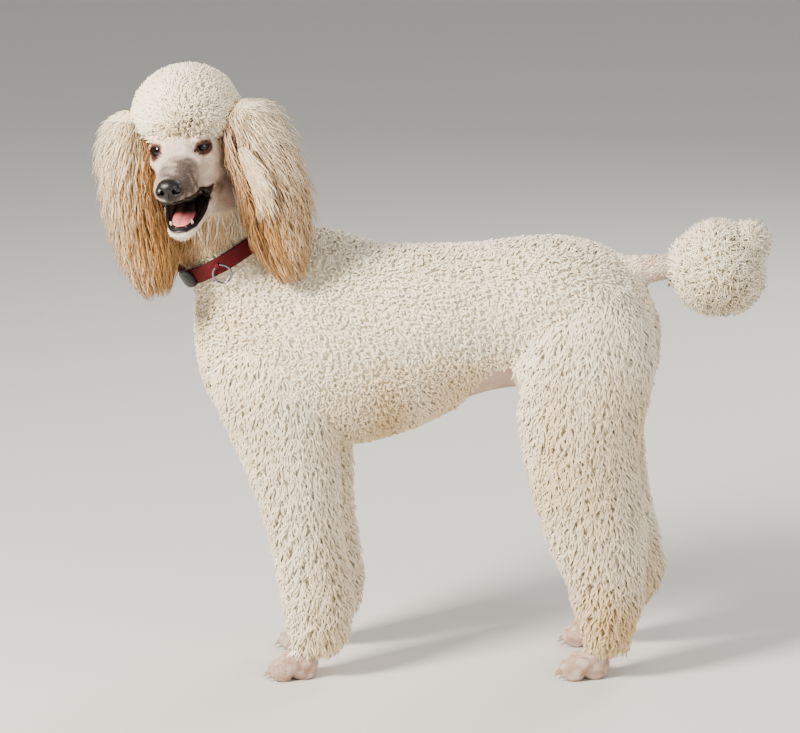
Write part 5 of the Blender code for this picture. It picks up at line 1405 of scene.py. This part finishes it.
def build_throat():
    """Longer hair above the collar, that hangs as far as the collar, tan over the throat, partly as painted shade."""

    def room(points):
        return np.clip(collar_axes().into(points)[:, 2] - COLLAR_WIDE / 2, 0.002, 0.040)

    locks = tufts("throat", height=0.0045, run=room, curl=0.0022, turns=1.1, bow=0.6, steps=5, spread=0.35,
                  uneven=0.3, patch=0.02, soften=0.4)

    def inside(points):
        above = (collar_axes().into(points)[:, 2] > COLLAR_WIDE / 2) & (points[:, 2] < 0.85)
        return above & (throat_marking(points) > 0.02) & (ear_share(points, (0.07, 0.044, 0.160)) > 1)

    grown_coat("locks_throat", inside, limb_spot("neck"), DOWN, locks, 27, markings=throat_marks)


def build_leg_coat():
    """Brushed wavy locks on the legs."""
    locks = tufts("leg", run=0.018, curl=0.0030, turns=0.8, bow=0.52, steps=4, spread=0.55, height=coat_height,
                  uneven=0.12, patch=0.022, soften=0.8)
    for i, stance in enumerate(STANCE):
        grown_coat("locks_" + stance, on_limb(stance), limb_spot(stance), DOWN, locks, 30 + i)


def build_topknot():
    """A dense rounded dome of fine locks on the head, combed away from the brow."""
    brow = HEAD_AXES.out((0.078, 0.0, 0.010))

    def crimp(points):
        return 0.0018 + 0.0012 * ramp(-np.abs(hairline(points) - 0.012), -0.022, -0.006)

    def height(points):
        edge = 0.006
        return edge + (TOPKNOT_CORE - HAIR_ROOM - edge) * ramp(hairline(points), 0.0, 0.018)

    locks = tufts("topknot", height=height, run=0.005, curl=crimp, turns=0.9, bow=0.54, steps=5, spread=1.3,
                  uneven=0.04, patch=0.02, soften=0.6)

    def inside(points):
        share = ball_share(points, HEAD_AXES, TOPKNOT_CENTRE, np.array(TOPKNOT_SIZE) - TOPKNOT_CORE)
        x, y, _ = HEAD_AXES.into(points).T
        back = (x < -0.030) & (np.abs(y) < 0.070) & (share < 1.5)
        return ((np.abs(share - 1) < 0.12) | back) & (hairline(points) > -0.003)

    grown_coat("topknot_dome", inside, ball_spot(HEAD_AXES, TOPKNOT_CENTRE), lambda p: unit(p - brow), locks, 41,
               ["topknot"])


def build_pom():
    """A loose wavy puff on the tail's end."""
    locks = tufts("pom", height=POM_CORE - HAIR_ROOM, run=0.013, curl=0.0032, turns=0.9, bow=0.5, steps=5,
                  spread=math.pi, uneven=0.16, patch=0.035, soften=0.65)

    def inside(points):
        share = np.min([ball_share(points, BODY, centre, np.array(size) - POM_CORE) for centre, size in POM], axis=0)
        return (share < 1.12) & (BODY.into(points)[:, 0] > 0.335)

    grown_coat("pom_puff", inside, ball_spot(BODY, POM[0][0]), np.array((0.3, 0, -1.0)), locks, 51, ["tail_pom"])


def build_short_fur():
    """The shortest hair, on the face, feet and tail root, lying back from the nose, toes and body."""
    hairs = tufts("fur", height=0.0016, run=0.0042, curl=0.0003, turns=0.5, bow=0.5, steps=3, spread=0.4, uneven=0.2,
                  patch=0.01, soften=0.5)
    nose = HEAD_AXES.out((0.16, 0.0, -0.035))

    def on_face(points):
        x, y, z = HEAD_AXES.into(points).T
        open_eye = np.zeros(len(points), bool)
        for side in (1, -1):
            eye = eye_axes(side).into(points)
            reach = np.hypot(eye[:, 1] / (LID_WIDE + 0.001), eye[:, 2] / (lid_tall(side) + 0.001))
            open_eye |= (reach < 1) & (eye[:, 0] > 0)
        mouth = (z < -0.0475) & (JAW_AXES.into(points)[:, 2] > 0.0035) & (GAPE_AXES.into(points)[:, 0] > -0.004)
        on_nose = ball_share(points, HEAD_AXES, (0.150, 0, -0.036), (0.016, 0.020, 0.016)) < 1
        near = (x > -0.04) & (np.abs(y) < 0.056) & (z < 0.05)
        return near & (bareness(points) > 0.3) & ~open_eye & ~mouth & ~in_mouth(points) & ~on_nose

    def on_paws(points):
        return (bareness(points) > 0.3) & (points[:, 2] < 0.06) & (points[:, 2] > 0.004)

    def on_dock(points):
        nearest, outside = nearest_limb(points)
        own = (nearest == list(LIMBS).index("tail_dock")) & (outside < LIMB_REACH)
        return own & (TAIL_AXES.into(points)[:, 0] > -0.01)

    sparse = hairs["spacing"] * 1.1
    curls = dict(hairs, height=0.0032, run=0.004, curl=0.0016, bow=0.6, half=hairs["half"] * 2, spacing=sparse)
    toes = dict(hairs, height=0.0013, run=0.0034, spacing=sparse)
    for name, inside, spot, lie, form, seed in (
            ("fur_face", on_face, ball_spot(HEAD_AXES, (0, 0, 0)), lambda p: unit(p - nose), hairs, 71),
            ("fur_paws", on_paws, ball_spot(BODY, (0, 0, 0)), np.array((-0.3, 0, -1.0)), toes, 72),
            ("fur_dock", on_dock, limb_spot("tail_dock"), TAIL_AXES.basis[0], curls, 73)):
        grown_coat(name, inside, spot, lie, form, seed, markings=shaven_marks)


def collar_axes(turn=0.0):
    """The collar's axes: outwards at an angle round the neck, round it, and along the neck."""
    along, across, up = NECK_AXES.basis
    front, along = turned(up, along, COLLAR_TILT)
    _, out = turned(across, front, turn)
    return Axes(NECK_AXES.out((COLLAR_AT, 0, COLLAR_SLACK)), out, np.cross(along, out), along)


def build_collar():
    """The collar's woven band with darker rounded edges, its keeper, ring and clip buckle."""
    turn = full_turn(180)
    axes = collar_axes()
    radius = COLLAR_RADIUS + COLLAR_THICK / 2
    path = axes.out(np.stack([radius * np.cos(turn), radius * np.sin(turn), 0 * turn], axis=-1))
    half, deep = COLLAR_WIDE / 2, COLLAR_THICK / 2
    angle = full_turn(40)
    profile = np.stack([half * signed_power(np.cos(angle), 0.35), deep * signed_power(np.sin(angle), 0.5)], axis=-1)
    band = swept(path, unit(path - axes.origin), profile, True)
    ring_at = collar_axes(RING_TURN)
    t = np.linspace(-0.5, 0.5, 24) * math.pi
    reach, top = RING_WIRE + 0.0017, RING_RADIUS - RING_DROP
    arc = np.stack([RING_OUT - 0.0002 + reach * np.cos(t), 0 * t, top + reach * np.sin(t)], axis=-1)
    feet = np.array([[COLLAR_FACE - 0.001, 0, top + end * reach] for end in (-1, 1)])
    strap = swept(ring_at.out(np.concatenate([feet[:1], arc, feet[1:]])), ring_at.basis[1],
                  circle(1.0, 16) * np.array((KEEPER_THICK / 2, KEEPER_WIDE / 2)))
    collar = new_object("collar_band", *merged([band, strap]))
    along = axes.into(vertices_of(collar))[:, 2] / half
    set_attribute(collar, "edge", np.abs(along))
    shader = Shader("collar_web", roughness=0.6, specular_ior_level=0.2)
    weave = shader.node("ShaderNodeTexWave", {"bands_direction": "Z"},
                        {"Vector": shader.place(), "Scale": 260.0, "Distortion": 1.5, "Detail": 2.0,
                         "Detail Scale": 3.0}, output=1)
    grain = shader.noise(1400.0, 2.0)
    edge = shader.attribute("edge").edge(8.0, 6.3)
    red = shader.mix(edge, "collar_crimson", np.array(settings().collar_crimson) * 0.7)
    colour = shader.tint(red, 0.72 + weave * 0.28 + grain * 0.3)
    finish(collar, shader.feed(base_color=colour, normal=shader.bump(weave * 0.6 + grain * 0.6, 0.0004)),
           ["collar"])
    turn = full_turn(96)
    path = ring_at.out(np.stack([np.full(96, RING_OUT), RING_RADIUS * np.cos(turn),
                                 RING_RADIUS * np.sin(turn) - RING_DROP], axis=-1))
    ring = new_object("ring_wire", *swept(path, ring_at.basis[0], circle(RING_WIRE, 16), True))
    finish(ring, plain_material("ring_steel", "ring_steel", 0.22, 400.0, 0.00005, 0.2, metallic=1.0),
           ["collar_ring"])
    build_buckle()


def build_buckle():
    """A clip buckle that hugs the collar: a rounded body, a raised middle and two side prongs with slots."""
    axes = collar_axes(BUCKLE_TURN)
    turn = full_turn(48)
    corner = 0.35

    def block(centre, size, rings=14):
        """A rounded block bent round the neck: superellipse rings stacked along its length."""
        share = np.linspace(-1, 1, rings)
        swell = np.sqrt(np.clip(1 - np.abs(share) ** 6, 0.05, 1))[:, None]
        x = centre[0] + size[0] * signed_power(np.cos(turn), corner) * swell
        y = (centre[1] + size[1] * share)[:, None] + 0 * x
        z = centre[2] + size[2] * signed_power(np.sin(turn), corner) * swell
        reach = COLLAR_FACE - 0.0005 + x
        angle = y / COLLAR_FACE
        return tube(axes.out(np.stack([reach * np.cos(angle), reach * np.sin(angle), z], axis=-1)))

    long, thick, tall = BUCKLE_LONG / 2, BUCKLE_THICK / 2 - 0.0012, BUCKLE_TALL / 2
    parts = [block((thick, 0.0035, 0), (thick, long - 0.0035, tall)),
             block((thick * 1.25, 0.0035, 0), (thick * 0.95, long - 0.009, tall * 0.55)),
             block((thick * 0.9, -long + 0.006, 0), (thick * 0.8, 0.006, tall * 0.75)),
             block((thick * 0.9, -long + 0.012, tall * 0.72), (thick * 0.75, 0.009, tall * 0.18)),
             block((thick * 0.9, -long + 0.012, -tall * 0.72), (thick * 0.75, 0.009, tall * 0.18))]
    finish(new_object("buckle_clip", *merged(parts)),
           plain_material("buckle_plastic", "buckle_black", 0.42, 600.0, 0.0001, 0.25,
                          specular_ior_level=0.3),
           ["collar_buckle"])


def build_stage():
    """A pale floor, soft lights and the camera at the photograph's angle."""
    look = settings()
    scene = bpy.context.scene
    bpy.ops.mesh.primitive_plane_add(size=30, location=(0, 0, 0))
    floor = bpy.context.object
    floor.name = "floor"
    shader = Shader("floor_paper", roughness=0.9)
    tone = shader.noise(3.0, 2.0)
    floor.data.materials.append(shader.feed(base_color=shader.tint("floor_tone", 0.985 + tone * 0.03)))
    world = bpy.data.worlds.new("studio")
    world.use_nodes = True
    world.node_tree.nodes["Background"].inputs[0].default_value = rgb((0.90, 0.90, 0.895))
    world.node_tree.nodes["Background"].inputs[1].default_value = look.sky
    scene.world = world
    for name, place, size, energy, colour in (
            ("key", (-2.3, -2.2, 2.6), 1.1, look.key, (1.0, 0.94, 0.84)),
            ("fill", (2.6, -2.6, 1.6), 2.4, look.fill, (0.97, 0.98, 1.0)),
            ("rim", (1.2, 2.6, 2.4), 1.6, look.rim, (1.0, 0.98, 0.95))):
        lamp = bpy.data.lights.new(name, "AREA")
        lamp.energy, lamp.size, lamp.color = energy, size, colour
        light = bpy.data.objects.new(name, lamp)
        scene.collection.objects.link(light)
        light.location = place
        light.rotation_euler = (Vector(place) - Vector((0, 0, 0.45))).to_track_quat("Z", "Y").to_euler()
    away = Vector((math.sin(CAMERA_AZIMUTH) * math.cos(CAMERA_ELEVATION),
                   -math.cos(CAMERA_AZIMUTH) * math.cos(CAMERA_ELEVATION), math.sin(CAMERA_ELEVATION)))
    camera = bpy.data.objects.new("camera", bpy.data.cameras.new("camera"))
    scene.collection.objects.link(camera)
    camera.data.sensor_width = SENSOR
    camera.data.lens = CAMERA_DISTANCE * PIXELS_PER_METRE / PHOTO_WIDTH * SENSOR
    rows = Matrix(FLOOR.basis.T.tolist()).to_4x4()
    rows.translation = Vector(FLOOR.origin)
    level = Matrix.Translation(-Vector(ORIGIN)) @ rows.inverted()
    camera.matrix_world = level @ Matrix.LocRotScale(
        Vector(CAMERA_TARGET) + away * CAMERA_DISTANCE, (-away).to_track_quat("-Z", "Y"), None)
    scene.camera = camera


# The add-on


def size(name, description, default, top=0.1):
    return FloatProperty(name=name, description=description, default=default, min=0.0, max=top, unit="LENGTH",
                         precision=4)


def colour(name, description, default):
    return FloatVectorProperty(name=name, description=description, default=default, min=0.0, max=1.0, size=3,
                               subtype="COLOR_GAMMA")


def power(name, description, default):
    return FloatProperty(name=name, description=description, default=default, min=0.0, unit="POWER")


class PoodleSettings(PropertyGroup):
    """Sizes and colours of the poodle's coat, face, collar and stage."""

    throat_spacing: size("Throat spacing", "Distance between the locks over the throat", 0.0044)
    throat_width: size("Throat lock width", "Width of a lock over the throat", 0.0030)
    curl_spacing: size("Curl spacing", "Distance between the body's curls", 0.0041)
    curl_width: size("Curl width", "Width of a curl on the body", 0.0036)
    leg_spacing: size("Leg spacing", "Distance between the legs' locks", 0.0042)
    leg_width: size("Leg lock width", "Width of a lock on the legs", 0.0036)
    topknot_spacing: size("Topknot spacing", "Distance between the topknot's locks", 0.0024)
    topknot_width: size("Topknot lock width", "Width of a lock of the topknot", 0.0030)
    pom_spacing: size("Pom spacing", "Distance between the tail pom's locks", 0.0027)
    pom_width: size("Pom lock width", "Width of a lock of the tail pom", 0.0024)
    fur_spacing: size("Fur spacing", "Distance between the shortest hairs", 0.0027)
    fur_width: size("Fur width", "Width of the shortest hairs", 0.0012)
    ear_locks: IntProperty(name="Ear locks", description="Number of long locks on each ear", default=3800, min=1)
    ear_lock_width: size("Ear lock width", "Width of a lock on the ears", 0.0028)
    coat_white: colour("Coat white", "The lightest hair of the body", (0.985, 0.930, 0.820))
    # The body's cream, used both for its own markings and for painted shade low on the body.
    coat_cream: colour("Coat cream", "The warm hair of the body's markings", (0.86, 0.73, 0.52))
    ear_cream: colour("Ear cream", "The lightest hair of the ears", (0.94, 0.88, 0.76))
    # The ears' tan, deepened in part to stand for shade on the ears.
    ear_tan: colour("Ear tan", "The warmest hair of the ears", (0.66, 0.48, 0.27))
    shaven_pink: colour("Shaven pink", "Skin through the shortest hair", (0.82, 0.68, 0.59))
    shaven_white: colour("Shaven white", "The shortest hair itself", (0.94, 0.90, 0.83))
    # The bridge's brown, also used as painted shade down the muzzle's left side.
    bridge_brown: colour("Bridge brown", "The muzzle's bridge", (0.34, 0.28, 0.25))
    # The eyes' surround, also used on the cheeks, the flank's fold and the feet, where it is partly painted shade.
    rim_brown: colour("Eye surround", "Round the eyes", (0.56, 0.40, 0.33))
    lip_black: colour("Lip black", "Lips", (0.035, 0.022, 0.024))
    # The mouth's lining, darkened to stand for the shade inside the mouth: partly its own colour, partly painted shade.
    mouth_lining: colour("Mouth lining", "Inside of the mouth", (0.09, 0.025, 0.028))
    tongue_pink: colour("Tongue pink", "Tongue", (0.86, 0.45, 0.46))
    tooth_ivory: colour("Tooth ivory", "Teeth", (0.93, 0.90, 0.82))
    eye_brown: colour("Eye brown", "Iris", (0.07, 0.030, 0.020))
    lid_brown: colour("Lid brown", "Rims of the lids", (0.20, 0.11, 0.09))
    nose_brown: colour("Nose brown", "Nose leather", (0.060, 0.042, 0.040))
    claw_horn: colour("Claw horn", "Claws", (0.62, 0.54, 0.48))
    collar_crimson: colour("Collar crimson", "Webbing of the collar", (0.33, 0.012, 0.045))
    ring_steel: colour("Ring steel", "Ring of the collar", (0.48, 0.48, 0.50))
    buckle_black: colour("Buckle black", "Clip of the collar", (0.045, 0.045, 0.05))
    floor_tone: colour("Floor tone", "Studio floor", (0.82, 0.81, 0.79))
    key: power("Key light", "Light from the head's side", 470.0)
    fill: power("Fill light", "Soft light from the tail's side", 70.0)
    rim: power("Rim light", "Light from behind", 90.0)
    sky: FloatProperty(name="Sky", description="Strength of the even light all round", default=0.6, min=0.0)


class PieceOperator:
    """What the operators share: each runs one build function, which raises if it can't finish."""

    bl_options = {"REGISTER", "UNDO"}

    def execute(self, context):
        self.build()
        return {"FINISHED"}


class POODLE_OT_skin(PieceOperator, Operator):
    """Build the one skin of body, face, jaw, ears' cores and paws"""

    bl_idname, bl_label, build = "poodle.skin", "Skin", staticmethod(build_skin)


class POODLE_OT_eyes(PieceOperator, Operator):
    """Build the eyes and the rims of their lids"""

    bl_idname, bl_label, build = "poodle.eyes", "Eyes", staticmethod(build_eyes)


class POODLE_OT_nose(PieceOperator, Operator):
    """Build the nose pad with its nostrils"""

    bl_idname, bl_label, build = "poodle.nose", "Nose", staticmethod(build_nose)


class POODLE_OT_mouth(PieceOperator, Operator):
    """Build the tongue, lower teeth and lips"""

    bl_idname, bl_label, build = "poodle.mouth", "Mouth", staticmethod(build_mouth)


class POODLE_OT_claws(PieceOperator, Operator):
    """Build the claws"""

    bl_idname, bl_label, build = "poodle.claws", "Claws", staticmethod(build_claws)


class POODLE_OT_body_coat(PieceOperator, Operator):
    """Grow the tight curls of the torso and neck"""

    bl_idname, bl_label, build = "poodle.body_coat", "Body curls", staticmethod(build_body_coat)


class POODLE_OT_throat(PieceOperator, Operator):
    """Grow the longer hair over the throat"""

    bl_idname, bl_label, build = "poodle.throat", "Throat locks", staticmethod(build_throat)


class POODLE_OT_leg_coat(PieceOperator, Operator):
    """Grow the brushed locks of the legs"""

    bl_idname, bl_label, build = "poodle.leg_coat", "Leg locks", staticmethod(build_leg_coat)


class POODLE_OT_topknot(PieceOperator, Operator):
    """Grow the rounded topknot"""

    bl_idname, bl_label, build = "poodle.topknot", "Topknot", staticmethod(build_topknot)


class POODLE_OT_ears(PieceOperator, Operator):
    """Grow the long locks of both ears"""

    bl_idname, bl_label, build = "poodle.ears", "Ears", staticmethod(build_ears)


class POODLE_OT_pom(PieceOperator, Operator):
    """Grow the tail's pom"""

    bl_idname, bl_label, build = "poodle.pom", "Tail pom", staticmethod(build_pom)


class POODLE_OT_short_fur(PieceOperator, Operator):
    """Grow the shortest hair of the face, feet and tail root"""

    bl_idname, bl_label, build = "poodle.short_fur", "Short fur", staticmethod(build_short_fur)


class POODLE_OT_collar(PieceOperator, Operator):
    """Build the collar, its ring and its buckle"""

    bl_idname, bl_label, build = "poodle.collar", "Collar", staticmethod(build_collar)


class POODLE_OT_stage(PieceOperator, Operator):
    """Build the floor, lights and camera"""

    bl_idname, bl_label, build = "poodle.stage", "Stage", staticmethod(build_stage)


OPERATORS = (POODLE_OT_skin, POODLE_OT_eyes, POODLE_OT_nose, POODLE_OT_mouth, POODLE_OT_claws,
             POODLE_OT_body_coat, POODLE_OT_throat, POODLE_OT_leg_coat, POODLE_OT_topknot, POODLE_OT_ears,
             POODLE_OT_pom, POODLE_OT_short_fur, POODLE_OT_collar, POODLE_OT_stage)


class POODLE_PT_pieces(Panel):
    """Lists the poodle's pieces and settings"""

    bl_idname = "POODLE_PT_pieces"
    bl_label = "Standard poodle"
    bl_space_type, bl_region_type, bl_category = "VIEW_3D", "UI", "Poodle"

    def draw(self, context):
        for operator in OPERATORS:
            self.layout.operator(operator.bl_idname)
        for name in PoodleSettings.__annotations__:
            self.layout.prop(context.scene.poodle, name)


CLASSES = (PoodleSettings, *OPERATORS, POODLE_PT_pieces)


def register():
    for cls in CLASSES:
        bpy.utils.register_class(cls)
    bpy.types.Scene.poodle = PointerProperty(type=PoodleSettings)


def unregister():
    del bpy.types.Scene.poodle
    for cls in reversed(CLASSES):
        bpy.utils.unregister_class(cls)


def main():
    register()
    for operator in OPERATORS:
        group, name = operator.bl_idname.split(".")
        getattr(getattr(bpy.ops, group), name)()


if __name__ == "__main__":
    main()
